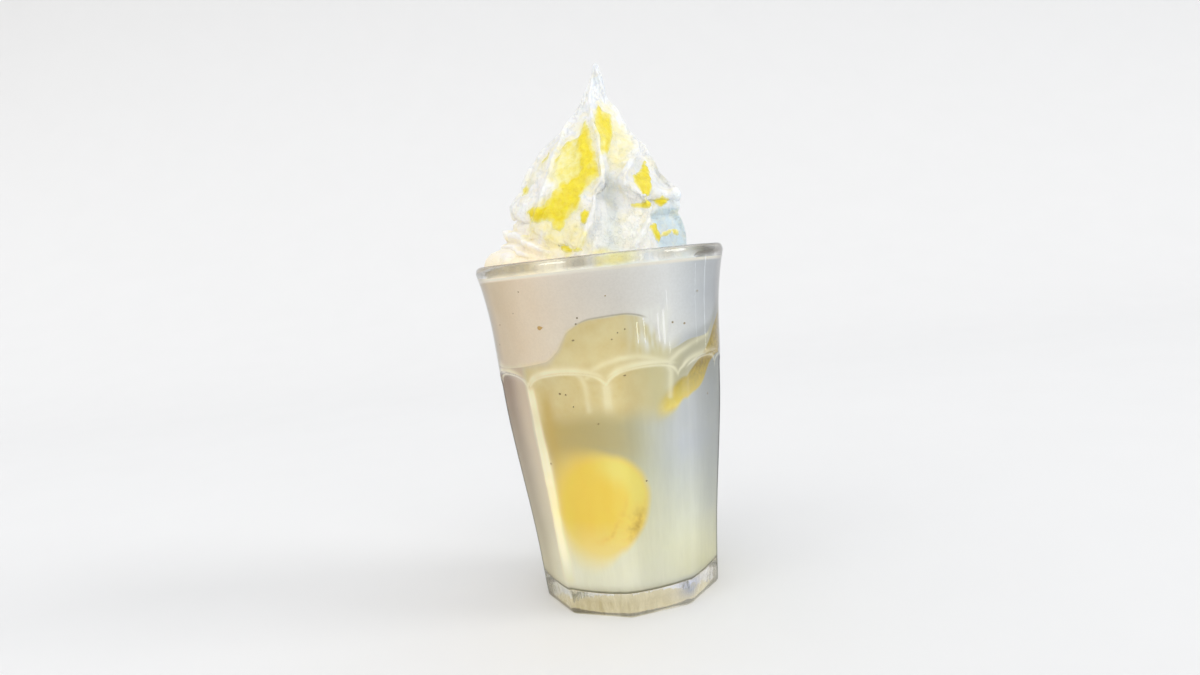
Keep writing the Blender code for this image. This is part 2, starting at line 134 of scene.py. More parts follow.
# The lip of the upper swirl: angle, height and how far its underside is tucked in
LIP = (
    (-180, 138.5, 2.2), (-90, 138.2, 2.2), (-60, 136.6, 1.9), (-40, 131.5, 1.2), (-22, 126.5, 0.7),
    (-6, 126, 0), (26, 138, 0), (38, 139, 2.2), (90, 139.4, 1.8), (180, 138.5, 2.6),
)
# The same lip from inside its underside out and up: height from the lip where there is no
# overhang, the same at full overhang, share of the tuck, bulge
LIP_POINTS = (
    (-1.6, -1.2, 1, 0), (-1, -0.4, 0.92, 0), (-0.5, -1.5, 0.5, 0), (0, -1.1, 0.1, 0.1), (0.7, 0.3, 0, 0.4),
    (2, 2.2, 0, 0.25),
)
BELOW_LIP = (0, 0.3, 0.6, 0.85, 1)
ABOVE_LIP = (0.08, 0.17, 0.26, 0.35, 0.44, 0.53, 0.62, 0.71, 0.8, 0.88, 0.95, 1)
SIDE_STEPS = (8, 10, 8, 6, 5, 5, 5, 5, 5, 5) + (11,) * 11 + (8,)
UNDER_LIP = 2.4
PEAK_GAP = 0.8
FULL_DROOP_TUCK = 2
LIP_START = 138
LIP_ROUNDS = 4
HEAP_ANGLE = -82
HEAP_SPREAD = 52
HEAP_RISE = 5.5
SKIRT_FOOT = 121
SKIRT_RINGS = ((37.6, 0.3, 40.2, 4.8), (35, 1.2, 37.4, 8.1))
SKIRT_STEPS = (8, 6, 6)
COLUMNS_PER_PLEAT = 46
CREST_CROWDING = 0.6


# Curves, noise and meshes

def cubic(t, first, last, leaving, arriving):
    """A smooth way from one value to another, with its slope at both ends."""
    return (
        first * (1 + 2 * t) * (1 - t) ** 2
        + last * t * t * (3 - 2 * t)
        + leaving * t * (1 - t) ** 2
        - arriving * t * t * (1 - t)
    )


def smooth_curve(points, at):
    """A smooth curve through (position, value) points, with no overshoot."""
    x, y = np.array(sorted(points), float).T
    run = np.diff(x)
    slope = np.diff(y) / run
    product_of_slopes = slope[:-1] * slope[1:]
    level = product_of_slopes <= 0
    total = np.where(level, 1, slope[:-1] + slope[1:])
    middle = np.where(level, 0, 2 * product_of_slopes / total)
    tangent = np.concatenate(([slope[0]], middle, [slope[-1]]))
    at = np.clip(at, x[0], x[-1])
    i = np.clip(np.searchsorted(x, at, side="right") - 1, 0, len(run) - 1)
    return cubic((at - x[i]) / run[i], y[i], y[i + 1], run[i] * tangent[i], run[i] * tangent[i + 1])


def table_curve(table, column, at):
    """A smooth curve through one column of a table, over its first column."""
    return smooth_curve([(row[0], row[column]) for row in table], at)


def ramp(low, high, at):
    """A soft step from 0 at low to 1 at high."""
    t = np.clip((at - low) / (high - low), 0, 1)
    return t * t * (3 - 2 * t)


def band(start, full, fade, end, at):
    """A soft step up to 1, and another back down to 0."""
    return ramp(start, full, at) * ramp(end, fade, at)


def bell(away, width):
    """A soft hill that is 1 where away is 0."""
    return np.exp(-(away / width) ** 2)


def wrapped(angle):
    """The angle between -180 and 180 degrees."""
    return (angle + WHOLE_TURN / 2) % WHOLE_TURN - WHOLE_TURN / 2


def lattice_value(cell, seed):
    """A fixed random number between -1 and 1 for each whole-numbered cell."""
    mask = 0xFFFFFFFF
    mixed = (cell[..., 0] * 374761393 + cell[..., 1] * 668265263
             + cell[..., 2] * 1103515245 + seed * 144269504) & mask
    mixed = ((mixed ^ (mixed >> 13)) * 1274126177) & mask
    mixed = mixed ^ (mixed >> 16)
    return mixed / (mask / 2) - 1


def noise(points, size, seed):
    """Smooth noise between -1 and 1, with features of about this size."""
    scaled = np.asarray(points) / size
    cell = np.floor(scaled).astype(np.int64)
    share = ramp(0, 1, scaled - cell)
    total = 0
    for corner in product((0, 1), repeat=3):
        weight = np.prod(np.where(corner, share, 1 - share), axis=-1)
        total = total + weight * lattice_value(cell + np.array(corner), seed)
    return total


def noises(points, *layers):
    """A sum of noises, each given as its strength, size and seed."""
    return sum(strength * noise(points, size, seed) for strength, size, seed in layers)


def flattened(points, share):
    """Points with their heights made less, so that noise over them is drawn out upwards."""
    return points * np.array((1, 1, share))


def at_angle(angle, radius, height, centre=0):
    """Points round the axis, or round an axis moved along X."""
    turn = np.radians(angle)
    parts = np.broadcast_arrays(centre + radius * np.sin(turn), -radius * np.cos(turn), height)
    return np.stack(parts, axis=-1)


def angles_of(points):
    return np.degrees(np.arctan2(points[..., 0], -points[..., 1]))


def crowded_steps(count, crowding):
    """Shares from 0 up to 1, which lie closer together near both ends."""
    t = np.arange(count) / count
    return t - crowding * np.sin(2 * math.pi * t) / (2 * math.pi)


def resample(rows, steps):
    """A smooth path through rows of points, with so many steps in each gap."""
    rows = np.asarray(rows, float)
    before = np.concatenate((rows[:1], rows[:-1]))
    after = np.concatenate((rows[1:], rows[-1:]))
    slope = (after - before) / 2
    out = []
    for i, count in enumerate(steps):
        out += [cubic(t, rows[i], rows[i + 1], slope[i], slope[i + 1]) for t in np.arange(count) / count]
    return np.array(out + [rows[-1]])


def unrolled(path, scale):
    """A path of angles and heights, with its angles as lengths along a wall."""
    return [(math.radians(angle) * scale, height) for angle, height in path]


def line_distance(start, end, x, z):
    """Distance from a straight line between two (x, z) points."""
    (x0, z0), (x1, z1) = start, end
    length = math.hypot(x1 - x0, z1 - z0)
    along = np.clip(((x - x0) * (x1 - x0) + (z - z0) * (z1 - z0)) / length ** 2, 0, 1)
    return np.hypot(x - x0 - along * (x1 - x0), z - z0 - along * (z1 - z0))


def path_distance(path, x, z):
    """Signed distance from a path of (x, z) points, which is positive above it."""
    best = np.full(np.shape(x), FAR)
    sign = np.zeros(np.shape(x))
    for start, end in zip(path, path[1:]):
        (x0, z0), (x1, z1) = start, end
        distance = line_distance(start, end, x, z)
        side = np.sign((x1 - x0) * (z - z0) - (z1 - z0) * (x - x0))
        sign = np.where(distance < best, side, sign)
        best = np.minimum(best, distance)
    return best * sign


def closed_skin(name, rows, first_pole, last_pole, sharp_row=None):
    """A closed mesh over rows of points that go round, drawn to a point at both ends.

    Rows that run up the outside and columns that run towards larger angles face out.
    Light falls off sharply across one row, where it is named.
    """
    count, columns, _ = rows.shape
    verts = np.concatenate((rows.reshape(-1, 3), [first_pole, last_pole])) * MM
    here = np.arange(columns)
    there = (here + 1) % columns
    base = np.arange(count - 1)[:, None] * columns
    quads = np.stack((base + here, base + there, base + columns + there, base + columns + here), -1)
    first = np.full(columns, count * columns)
    top = (count - 1) * columns
    faces = quads.reshape(-1, 4).tolist()
    faces += np.stack((first, there, here), -1).tolist()
    faces += np.stack((first + 1, top + here, top + there), -1).tolist()
    mesh = bpy.data.meshes.new(name)
    mesh.from_pydata(verts.tolist(), [], faces)
    mesh.shade_smooth()
    if sharp_row is not None:
        ends = np.empty(len(mesh.edges) * 2, np.int32)
        mesh.edges.foreach_get("vertices", ends)
        on_row = (ends.reshape(-1, 2) // columns == sharp_row).all(axis=1)
        mesh.attributes.new("sharp_edge", "BOOLEAN", "EDGE").data.foreach_set("value", on_row)
    return mesh


def points_of(mesh):
    """A mesh's points in millimetres."""
    flat = np.empty(len(mesh.vertices) * 3, np.float32)
    mesh.vertices.foreach_get("co", flat)
    return flat.reshape(-1, 3).astype(float) / MM


def paint(mesh, **fields):
    """Keep numbers for each point of a mesh, for its material to read by their names."""
    for name, values in fields.items():
        layer = mesh.attributes.new(name, "FLOAT", "POINT")
        layer.data.foreach_set("value", np.asarray(values, np.float32))


def link(name, data):
    """Show a mesh, a light or a camera in the scene."""
    thing = bpy.data.objects.new(name, data)
    bpy.context.scene.collection.objects.link(thing)
    return thing


def add_piece(mesh, material, slot, *nodes):
    """Link a mesh as a piece of the object that stands for these nodes."""
    mesh.materials.append(material)
    piece = link(mesh.name, mesh)
    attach(piece, "root")
    if nodes:
        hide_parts(*nodes)


# Materials

def colour(red, green, blue):
    """A colour from its screen values, as light."""
    parts = []
    for value in (red, green, blue):
        v = value / 255
        parts.append(v / 12.92 if v <= 0.04045 else ((v + 0.055) / 1.055) ** 2.4)
    return (*parts, 1)


class Finish:
    """The nodes of a material or of the world, added one by one.

    Where a number is asked for, the name of a painted field will do. A tone is a socket, a
    colour as a screen shows it, or light with four values.
    """

    def __init__(self, name, kind="materials"):
        self.block = getattr(bpy.data, kind).new(name)
        self.block.use_nodes = True
        self.tree = self.block.node_tree
        self.tree.nodes.clear()

    def add(self, kind, inputs=None, **settings):
        node = self.tree.nodes.new("ShaderNode" + kind)
        for key, value in settings.items():
            setattr(node, key, value)
        for key, value in (inputs or {}).items():
            if isinstance(value, bpy.types.NodeSocket):
                self.tree.links.new(value, node.inputs[key])
            else:
                node.inputs[key].default_value = value
        return node

    def read(self, value):
        if isinstance(value, str):
            return self.add("Attribute", attribute_name=value).outputs["Fac"]
        if isinstance(value, tuple) and len(value) == 3:
            return colour(*value)
        return value

    def place(self):
        return self.add("TexCoord").outputs["Object"]

    def noise(self, size, detail, roughness, upright=1):
        """Noise of about this size, drawn out along Z where upright is under 1."""
        place = self.place()
        if upright != 1:
            place = self.add("Mapping", {"Vector": place, "Scale": (1, 1, upright)}).outputs["Vector"]
        inputs = {"Vector": place, "Scale": 1 / (size * MM), "Detail": detail, "Roughness": roughness}
        return self.add("TexNoise", inputs).outputs["Fac"]

    def spread(self, value, low, high, most=1, least=0):
        """A value taken to least where it is low and to most where it is high."""
        inputs = {"Value": self.read(value), "From Min": low, "From Max": high}
        return self.add("MapRange", {**inputs, "To Min": least, "To Max": most}).outputs["Result"]

    def grain(self, size, detail, roughness, low, high, most=1, upright=1):
        return self.spread(self.noise(size, detail, roughness, upright), low, high, most)

    def along(self, axis, low, high, most=1):
        """A share that grows from one place to another along an axis."""
        place = self.add("SeparateXYZ", {"Vector": self.place()}).outputs[axis]
        return self.spread(place, low * MM, high * MM, most)

    def maths(self, operation, first, second=0):
        inputs = {0: self.read(first), 1: self.read(second)}
        return self.add("Math", inputs, operation=operation).outputs[0]

    def times(self, first, second):
        return self.maths("MULTIPLY", first, second)

    def plus(self, first, *others):
        for other in others:
            first = self.maths("ADD", first, other)
        return first

    def over(self, tone, *layers):
        """A tone with others laid over it in turn, each given as its share and itself."""
        for share, upper in layers:
            inputs = {0: self.read(share), 6: self.read(tone), 7: self.read(upper)}
            tone = self.add("Mix", inputs, data_type="RGBA").outputs[2]
        return tone

    def mix(self, share, first, second):
        return self.over(first, (share, second))

    def bump(self, height, distance, strength):
        inputs = {"Height": height, "Distance": distance * MM, "Strength": strength}
        return self.add("Bump", inputs).outputs["Normal"]

    def principled(self, **inputs):
        named = {key.replace("_", " ").title().replace("Ior", "IOR"): value for key, value in inputs.items()}
        return self.add("BsdfPrincipled", named).outputs["BSDF"]

    def done(self, shader):
        self.add("OutputMaterial", {"Surface": shader})
        return self.block

    def made_of(self, **inputs):
        return self.done(self.principled(**inputs))


def glass_finish():
    """Clear glass that lets light through to what it holds."""
    finish = Finish("clear_glass")
    # Painted shade: the glass darkens and dims its reflections towards its outlines and along the ridges at
    # the sides, less over the arches, for the dark surroundings real glass shows there.
    facing = finish.add("LayerWeight", {"Blend": 0.5}).outputs["Facing"]
    edge = finish.times(finish.spread(facing, 0.66, 0.90), finish.maths("SUBTRACT", 1, "arches"))
    ridge_edge = finish.times("ridge", finish.spread(facing, 0.5, 0.66))
    outline = finish.maths("MAXIMUM", finish.spread(facing, 0.78, 0.92), ridge_edge)
    # The lip is tinted grey with a paler mottle, painted shade and a painted yellow reflection of the lemon.
    lip_tint = finish.over(
        (220, 217, 206),
        (finish.grain(9, 2, 0.6, 0.35, 0.65), (246, 248, 248)),
        ("dusk", (132, 126, 114)),
        ("lemon_glow", (255, 246, 166)),
    )
    # A painted tint for what the thick base shows through it: beige streaks, which also bump the glass,
    # painted shade to the left, whiter to the right, and a painted blue patch of the surroundings.
    streaks = finish.plus(finish.noise(1.6, 3, 0.65, 0.18), finish.noise(5, 2, 0.5, 0.5))
    streaks = finish.spread(streaks, 0.78, 1.22)
    base_tint = finish.over(
        (246, 243, 231),
        (streaks, (176, 167, 132)),
        (finish.along("X", -3, -12, 0.35), (190, 174, 132)),
        (finish.along("X", -2, 14, 0.65), (252, 252, 255)),
        ("blue_patch", (88, 130, 246)),
    )
    tint = finish.over(
        (249, 251, 249),
        (finish.along("Z", 117, 118.2), lip_tint),
        ("base", base_tint),
        (ridge_edge, (66, 63, 60)),
        (edge, (98, 92, 82)),
    )
    shader = finish.principled(
        base_color=tint,
        roughness=0,
        ior=1.5,
        transmission_weight=1,
        specular_tint=finish.mix(outline, (255, 255, 255), (110, 104, 96)),
        normal=finish.bump(finish.times(streaks, "base"), 0.25, 0.6),
    )
    clear = finish.add("BsdfTransparent", {"Color": colour(247, 249, 246)}).outputs["BSDF"]
    path = finish.add("LightPath").outputs["Is Shadow Ray"]
    both = finish.add("MixShader", {0: path, 1: shader, 2: clear}).outputs[0]
    return finish.done(both)


# The glass

def facet_offset(angle):
    """How far an angle lies from the middle of its flat side."""
    return (angle - FACET_PHASE) % (2 * HALF_FACET) - HALF_FACET


def flat_radius(angle, ridge):
    """Radius of a flat side at this angle, with the ridges between them rounded."""
    half = math.radians(HALF_FACET)
    turn = np.radians(HALF_FACET - np.abs(facet_offset(angle)))
    middle = ridge * math.cos(half)
    flat = middle / np.cos(half - turn)
    hub = (middle - RIDGE_ROUNDING) / math.cos(half)
    inside = np.maximum(RIDGE_ROUNDING ** 2 - (hub * np.sin(turn)) ** 2, 0)
    round_part = hub * np.cos(turn) + np.sqrt(inside)
    touch = np.arctan2(RIDGE_ROUNDING * math.sin(half), hub + RIDGE_ROUNDING * math.cos(half))
    return np.where(turn < touch, round_part, flat)


def arch_height(angle):
    share = np.minimum(1, np.abs(facet_offset(angle)) / HALF_FACET)
    return ARCH_FOOT + ARCH_RISE * np.sqrt(1 - share * share)


SCOOP_END = 0.9
EDGE_END = 1.15


def scoop(share):
    """How far a flat side's scooped end has come out to the round wall."""
    hollow = 1 - np.sqrt(1 - np.clip(share, 0, SCOOP_END) ** 2)
    drop = math.sqrt(1 - SCOOP_END ** 2)
    run = EDGE_END - SCOOP_END
    t = np.clip((share - SCOOP_END) / run, 0, 1)
    return np.where(share < SCOOP_END, hollow, cubic(t, 1 - drop, 1, run * SCOOP_END / drop, 0))


def outer_radius(angle, height):
    ridge = smooth_curve(OUTER_WALL, height)
    flat = flat_radius(angle, ridge)
    share = (height - arch_height(angle) + SHOULDER) / SHOULDER
    return flat + (ridge - flat) * scoop(share)


def inner_radius(height):
    table = np.array(INNER_WALL)
    return np.interp(height, table[:, 0], table[:, 1])


# Shares and heights of the glass's rows of points, from the middle of its underside up the
# outside and over the lip down to the middle of its floor
PUNT_SHARES = (0.2, 0.4, 0.6, 0.8, 0.93)
FLAT_LEVELS = (5, 11, 18, 26, 34, 42, 50, 57, 64, 70, 75)
ARCH_SHARES = np.linspace(0, 1.25, 19)
ABOVE_ARCH = 92
ROUND_LEVELS = (96, 100, 104, 108, 111, 113.5, 115.5, 117.2, LIP_FOOT)
INNER_LEVELS = (
    119.4, 117.5, 115, 112, 110, 108, 104, 100, 95, 90, 85, 80, 70, 58, 46, 34, 22, 12,
    10.6, 9.6, 8.6, 7.8, 7.3, FLOOR_HEIGHT,
)
FLOOR_SHARES = (0.8, 0.5, 0.25)
# Slight unevenness of the outside round the base
BASE_WAVES = ((0.10, 2.6, 3), (0.10, 5, 4))

# Painted shade in the thick lip round the glass: angle and share
LIP_DUSK = (
    (-180, 0.3), (-110, 0.6), (-60, 0.5), (-34, 0.45), (-20, 0.05), (-8, 0.45), (2, 0.1), (10, 0), (32, 0),
    (42, 0.2), (54, 0.9), (80, 0.8), (120, 0.4), (180, 0.3),
)


def glass_rows():
    steps = crowded_steps(COLUMNS_PER_FACET, RIDGE_CROWDING) * 2 * HALF_FACET
    angles = np.concatenate([FACET_PHASE + 2 * HALF_FACET * facet + steps for facet in range(FACETS)])
    rings = [(PUNT_RADIUS * share, PUNT_DEPTH * (1 - share ** 3)) for share in PUNT_SHARES]
    foot = outer_radius(angles, FOOT_ROUNDING)
    rings += [(PUNT_RADIUS, 0), ((PUNT_RADIUS + foot) / 2, 0)]
    for turn in np.radians((0, 22.5, 45, 67.5, 90)):
        rings.append((foot - FOOT_ROUNDING * (1 - math.sin(turn)), FOOT_ROUNDING * (1 - math.cos(turn))))
    arch = arch_height(angles)
    last = arch + (ARCH_SHARES[-1] - 1) * SHOULDER
    heights = list(FLAT_LEVELS) + [arch - SHOULDER * (1 - share) for share in ARCH_SHARES]
    heights += [last + (ABOVE_ARCH - last) * share for share in (0.3, 0.65, 1)]
    rings += [(outer_radius(angles, height), height) for height in heights]
    rings += [(smooth_curve(OUTER_WALL, height), height) for height in ROUND_LEVELS]
    inner_top, inner_end = INNER_WALL[-1]
    middle = (RIM_RADIUS + inner_end) / 2
    half_width = (RIM_RADIUS - inner_end) / 2
    for turn in np.radians(np.linspace(0, 180, 13))[1:-1]:
        level = LIP_FOOT + (inner_top - LIP_FOOT) * (1 - math.cos(turn)) / 2
        rings.append((middle + half_width * math.cos(turn), level + (GLASS_HEIGHT - level) * math.sin(turn)))
    rings += [(inner_radius(height), height) for height in INNER_LEVELS]
    rings += [(INNER_WALL[0][1] * share, FLOOR_HEIGHT) for share in FLOOR_SHARES]
    return np.array([at_angle(angles, radius, height) for radius, height in rings])


def make_glass():
    rows = glass_rows()
    reach = np.hypot(rows[..., 0], rows[..., 1])
    low = band(0.2, 1, 5, 9, rows[..., 2]) * ramp(24, 28, reach)
    rows[..., :2] *= (1 + low * noises(rows, *BASE_WAVES) / np.maximum(reach, 1))[..., None]
    mesh = closed_skin("tumbler", rows, (0, 0, PUNT_DEPTH), (0, 0, FLOOR_HEIGHT))
    points = points_of(mesh)
    angle = angles_of(points)
    height = points[:, 2]
    outside = ramp(27.5, 28.5, np.hypot(points[:, 0], points[:, 1]))
    # Masks for painted shade in the glass: dark lines on the ridges at the sides, held back over the arches.
    ridge = ramp(3.2, 1.6, HALF_FACET - np.abs(facet_offset(angle))) * ramp(62, 70, np.abs(angle))
    arches = band(75, 78, 87, 90, height) * ramp(74, 68, np.abs(angle))
    paint(
        mesh,
        dusk=smooth_curve(LIP_DUSK, angle),
        lemon_glow=0.5 * band(0, 5, 12, 19, angle),
        base=ramp(9.8, 8.2, height) * outside,
        ridge=ridge * outside * ramp(84, 81, height),
        arches=arches * outside,
        blue_patch=0.85 * bell(angle - 38, 9) * ramp(2.5, 5.5, height) * outside,
    )
    add_piece(mesh, glass_finish(), "clear_glass", "glass")


# The milk and what shows through it

def milk_edge(angle):
    return smooth_curve(MILK_EDGE, wrapped(angle))


def divide_rows(angles, shares):
    """Rows of the surface between milk and cream, which dips at the wall."""
    edge = milk_edge(angles)
    rows = []
    for share in shares:
        height = edge + (MILK_CROWN - edge) * (1 - share ** MILK_CROWN_POWER)
        rows.append(at_angle(angles, share * (inner_radius(edge) + MILK_REACH), height))
    return rows


# Bounds of what shows in the milk, along the wall: angle and height
FLESH_FOOT = ((-75, 74), (-45, 70), (-30, 70.6), (-7, 71), (8, 69.8), (20, 68.6), (34, 69))
RIND_LOW = (
    (20, 65.5), (26, 67.1), (34.6, 68.6), (40.8, 71.1), (55, 73.9), (66.3, 79.7), (80, 85.5), (95, 93),
    (110, 98),
)
RIND_HIGH = (
    (20, 69.5), (31.6, 75), (42.2, 79.2), (52, 83.2), (60.6, 87.5), (69.2, 94), (84, 100), (110, 103),
)
# The sunk piece of lemon: angle and height of its middle, and half its width and height
PIECE_MIDDLE = (-17, 37.6)
PIECE_HALF = (16.2, 19)
PIECE_SLANT = 9
PIECE_ROUNDNESS = 2.3
WALL_SCALE = 30.5
WALL_WAVER = ((0.9, 9, 5), (0.35, 3.5, 6))

# How softly the milk and the foam run into each other: angle and half width
SEAM_SOFTNESS = (
    (-180, 3), (-75, 2.2), (-40, 2), (-27, 1.7), (-21, 1.1), (-13, 0.35), (10, 0.35), (17, 0.7), (22, 1.6),
    (32, 2.6), (60, 1.8), (90, 3), (180, 3),
)
# Distance along the wall for two degrees, where milk and foam meet
SEAM_STEP = 1.3
# The edge of the milk as it shows, which on the right lies under a haze of foam and painted glare
SEEN_EDGE = (
    (-180, 96), (-140, 93), (-100, 88), (-68, 86.1), (-34, 88), (-26, 91.5), (-19, 97.6), (-7, 100.9),
    (8, 101.4), (16, 100.3), (20, 98.2), (23, 94), (26.5, 90.2), (32, 89.8), (39, 92), (47, 93), (60, 94),
    (76, 101.5), (100, 99), (140, 94), (180, 96),
)

# Where light drawn together by the arches falls on the milk: angle and height
LIGHT_ARCS = (
    ((-17.5, 85), (-15.2, 83), (-14, 80), (-13.4, 77), (-13.4, 71.5)),
    ((-12.5, 82.5), (-9.2, 84.6), (-3, 86.5), (5, 87.6), (13.5, 87.7), (22.8, 86.1), (30.5, 84.3), (32.9, 81),
     (32.2, 76), (31.5, 73)),
    ((30.5, 84.3), (37, 87), (46, 89), (60, 91)),
)
ARC_HALF_WIDTH = 0.95
# How far to the side of a ridge its line of light falls, by height, and how strong it is, by angle
RIDGE_SHIFT = ((0, 7.4), (30, 7.1), (50, 5.5), (72, 6.3), (82, 7), (120, 7))
RIDGE_LIGHT = (
    (-180, 0.4), (-110, 0.3), (-82, 0.05), (-55, 0.9), (-30, 1), (0, 0.6), (37, 0.15), (77, 0.1),
    (110, 0.3), (180, 0.4),
)


def seam_share(points):
    """From 0 in the milk to 1 in the foam, softly where the two run into each other."""
    angle = angles_of(points)
    soft = smooth_curve(SEAM_SOFTNESS, angle)
    waver = noises(points, (0.6, 5, 7), (0.3, 2, 8))
    slope = (smooth_curve(SEEN_EDGE, angle + 1) - smooth_curve(SEEN_EDGE, angle - 1)) / SEAM_STEP
    away = (points[:, 2] - smooth_curve(SEEN_EDGE, angle)) / np.hypot(1, slope)
    return ramp(-soft, soft, away + waver * np.minimum(soft, 1.2))


def flesh_share(points):
    """Where the pale flesh of the slice shows through the milk."""
    angle = angles_of(points)
    waver = noises(points, *WALL_WAVER)
    above = ramp(-6, 3.5, points[:, 2] - smooth_curve(FLESH_FOOT, angle) + waver)
    return above * ramp(-54, -44, angle + 1.5 * waver) * ramp(42, 25, angle)


def haze_share(points):
    """Where whitish streaks lie before the flesh, at the right of its dome, partly foam and partly painted
    glare.
    """
    streaks = 0.5 + noises(flattened(points, 0.2), (0.8, 1.5, 61), (0.6, 0.8, 62))
    across = band(6, 23, 29, 35, angles_of(points))
    return np.clip(streaks, 0, 1) * across * band(86, 92, 101, 105, points[:, 2])


def wall_fields(points):
    """What shows alike in the milk and in the foam at the wall."""
    return {"seam": seam_share(points), "flesh": flesh_share(points), "haze": haze_share(points)}


def light_lines(points):
    """Where the ridges and arches of the glass draw light together on the milk."""
    angle = angles_of(points)
    height = points[:, 2]
    lines = np.zeros(angle.shape)
    upright = band(8.5, 11, 78.5, 81, height)
    shift = smooth_curve(RIDGE_SHIFT, height)
    width = 1.5 + ramp(72, 46, height) + 1.5 * ramp(36, 14, height)
    halo = 0.3 - 0.15 * ramp(56, 72, height)
    for facet in range(FACETS):
        ridge = wrapped(FACET_PHASE + 2 * HALF_FACET * (facet + 1))
        away = wrapped(angle - ridge - shift * math.sin(math.radians(ridge)))
        strong = float(smooth_curve(RIDGE_LIGHT, ridge))
        lower = 0.05 + 0.95 * ramp(68, 74, height) if ridge > -30 else 1
        core = bell(away, width) + halo * bell(away, 3.6)
        lines = np.maximum(lines, strong * lower * np.minimum(core, 1) * upright)
    turned = angle - shift * np.minimum(np.sin(np.radians(angle)), 0)
    sideways = np.minimum(1, np.abs(facet_offset(turned)) / HALF_FACET)
    above_bow = height - arch_height(turned) - 0.5 + 1.8 * sideways ** 6
    lines = np.maximum(lines, 0.9 * bell(above_bow, np.where(above_bow > 0, 1.15, 0.8)))
    x = np.radians(angle) * WALL_SCALE
    for path in LIGHT_ARCS:
        away = path_distance(unrolled(path, WALL_SCALE), x, height)
        lines = np.maximum(lines, 0.6 * bell(away, ARC_HALF_WIDTH))
    lines *= 1 - 0.45 * band(34, 50, 84, 100, angle)
    return lines * (0.85 + 0.3 * noise(points, 4, 9))


def piece_fields(angle, height, waver):
    """The blurred piece of lemon sunk in the milk, with a painted highlight on its edge, and its peel."""
    across = np.radians(wrapped(angle - PIECE_MIDDLE[0])) * WALL_SCALE
    up = height - PIECE_MIDDLE[1]
    across = across + 2.2 * ramp(4, -20, up)
    lean = math.radians(PIECE_SLANT)
    z = (across * math.sin(lean) + up * math.cos(lean)) / PIECE_HALF[1]
    x = (across * math.cos(lean) - up * math.sin(lean)) / PIECE_HALF[0] / (1 - 0.14 * ramp(0, -1, z))
    reach = (np.abs(x) ** PIECE_ROUNDNESS + np.abs(z) ** PIECE_ROUNDNESS) ** (1 / PIECE_ROUNDNESS)
    blur = 0.34 - 0.23 * ramp(-0.6, 0.7, x + 0.3 * z)
    piece = 1 - ramp(1 - blur, 1 + blur, reach + 0.02 * waver)
    ring = ramp(0.42, 0.78, reach + 0.05 * waver)
    peel = bell(x - 0.90 + 0.05 * waver, 0.22) * bell(z + 0.22, 0.34)
    fold = bell(reach - 0.56 + 0.06 * waver, 0.07) * ramp(-0.1, 0.5, x) * ramp(0.5, -0.2, z)
    return {
        "piece": piece,
        "crescent": ring * ramp(0, 0.75, x + 0.4 * z) * ramp(-0.75, 0.1, z) * piece,
        "peel": np.maximum(0.8 * peel, 0.35 * fold) * piece,
    }


def beam_share(points, angle, height):
    """The wide beam of light at the left, which runs the whole height of a flat side."""
    away = angle + 42.75 + 0.679 * smooth_curve(RIDGE_SHIFT, height) + 0.5 * noise(points, 3.4, 64)
    foot = ramp(36, 14, height)
    beam = bell(away, 1.3 + 0.7 * ramp(72, 46, height) + 1.2 * foot)
    beam *= ramp(8, 24, height) * (1 - 0.3 * foot) * (0.92 + 0.22 * noise(points, 2.6, 63))
    return beam * (0.35 + 0.65 * ramp(72, 52, height)) * ramp(83, 77, height)


def milk_fields(points):
    """What shows at each point of the wall of the milk, as numbers from 0 to 1."""
    angle = angles_of(points)
    height = points[:, 2]
    waver = noises(points, *WALL_WAVER)
    lines = light_lines(points)
    low = smooth_curve(RIND_LOW, angle)
    high = smooth_curve(RIND_HIGH, angle)
    soft = 0.5 + 1.7 * ramp(46, 24, angle) + 2.5 * ramp(82, 104, angle)
    rind = ramp(-soft, soft, height - low + 0.7 * waver) * ramp(-soft, soft, high - height + 0.5 * waver)
    over_rind = 0.8 * band(26, 36, 58, 72, angle) * ramp(-1, 1.5, height - (low + high) / 2)
    olive = band(-50, -44, -4, 26, angle) * ramp(42, 60, height + waver)
    amber = bell(angle + 39.5 + 0.8 * waver, 5) * band(26, 44, 72, 84, height)
    return {
        **wall_fields(points),
        **piece_fields(angle, height, waver),
        "lines": lines,
        "spark": lines * ramp(68, 76, height),
        "glow": beam_share(points, angle, height),
        "rind": rind * band(20, 31, 88, 108, angle),
        "olive": np.maximum(olive, over_rind),
        "amber": (0.6 + 0.15 * ramp(56, 66, height)) * amber,
        "shade": ramp(-47, -52, angle + waver) * ramp(-150, -104, angle),
        "dark": ramp(-54, -80, angle + 2 * waver) * ramp(-130, -92, angle),
        # A dark ring of painted shade at the foot of the milk.
        "foot": ramp(8.6, 7.7, height),
        "depth": ramp(1, 12, milk_edge(angle) - height),
    }


HAZE_TONE = (252, 252, 248)


def milk_tones(finish):
    """The milk's colour, which changes with height and from side to side, with painted shade that makes it
    cooler and darker towards the right.
    """
    cool = finish.times(finish.along("X", 2, 20), finish.along("Z", 22, 56))
    low_right = finish.times(finish.along("X", 10, 24), finish.along("Z", 30, 12, 0.9))
    return finish.over(
        (255, 253, 232),
        (finish.along("Z", 10, 48), (238, 239, 212)),
        (cool, (214, 218, 226)),
        (finish.along("X", 21, 34, 0.9), (150, 153, 152)),
        (low_right, (226, 222, 184)),
        (finish.grain(14, 2, 0.5, 0.3, 0.7, 0.08), (255, 250, 220)),
        (finish.grain(1.3, 3, 0.6, 0.35, 0.65, 0.05, 0.05), (120, 116, 96)),
    )


def flesh_tones(finish):
    return finish.over(
        (238, 218, 156),
        (finish.grain(5, 4, 0.6, 0.3, 0.7), (246, 231, 180)),
        (finish.along("X", 4, 13, 0.8), (226, 219, 176)),
    )


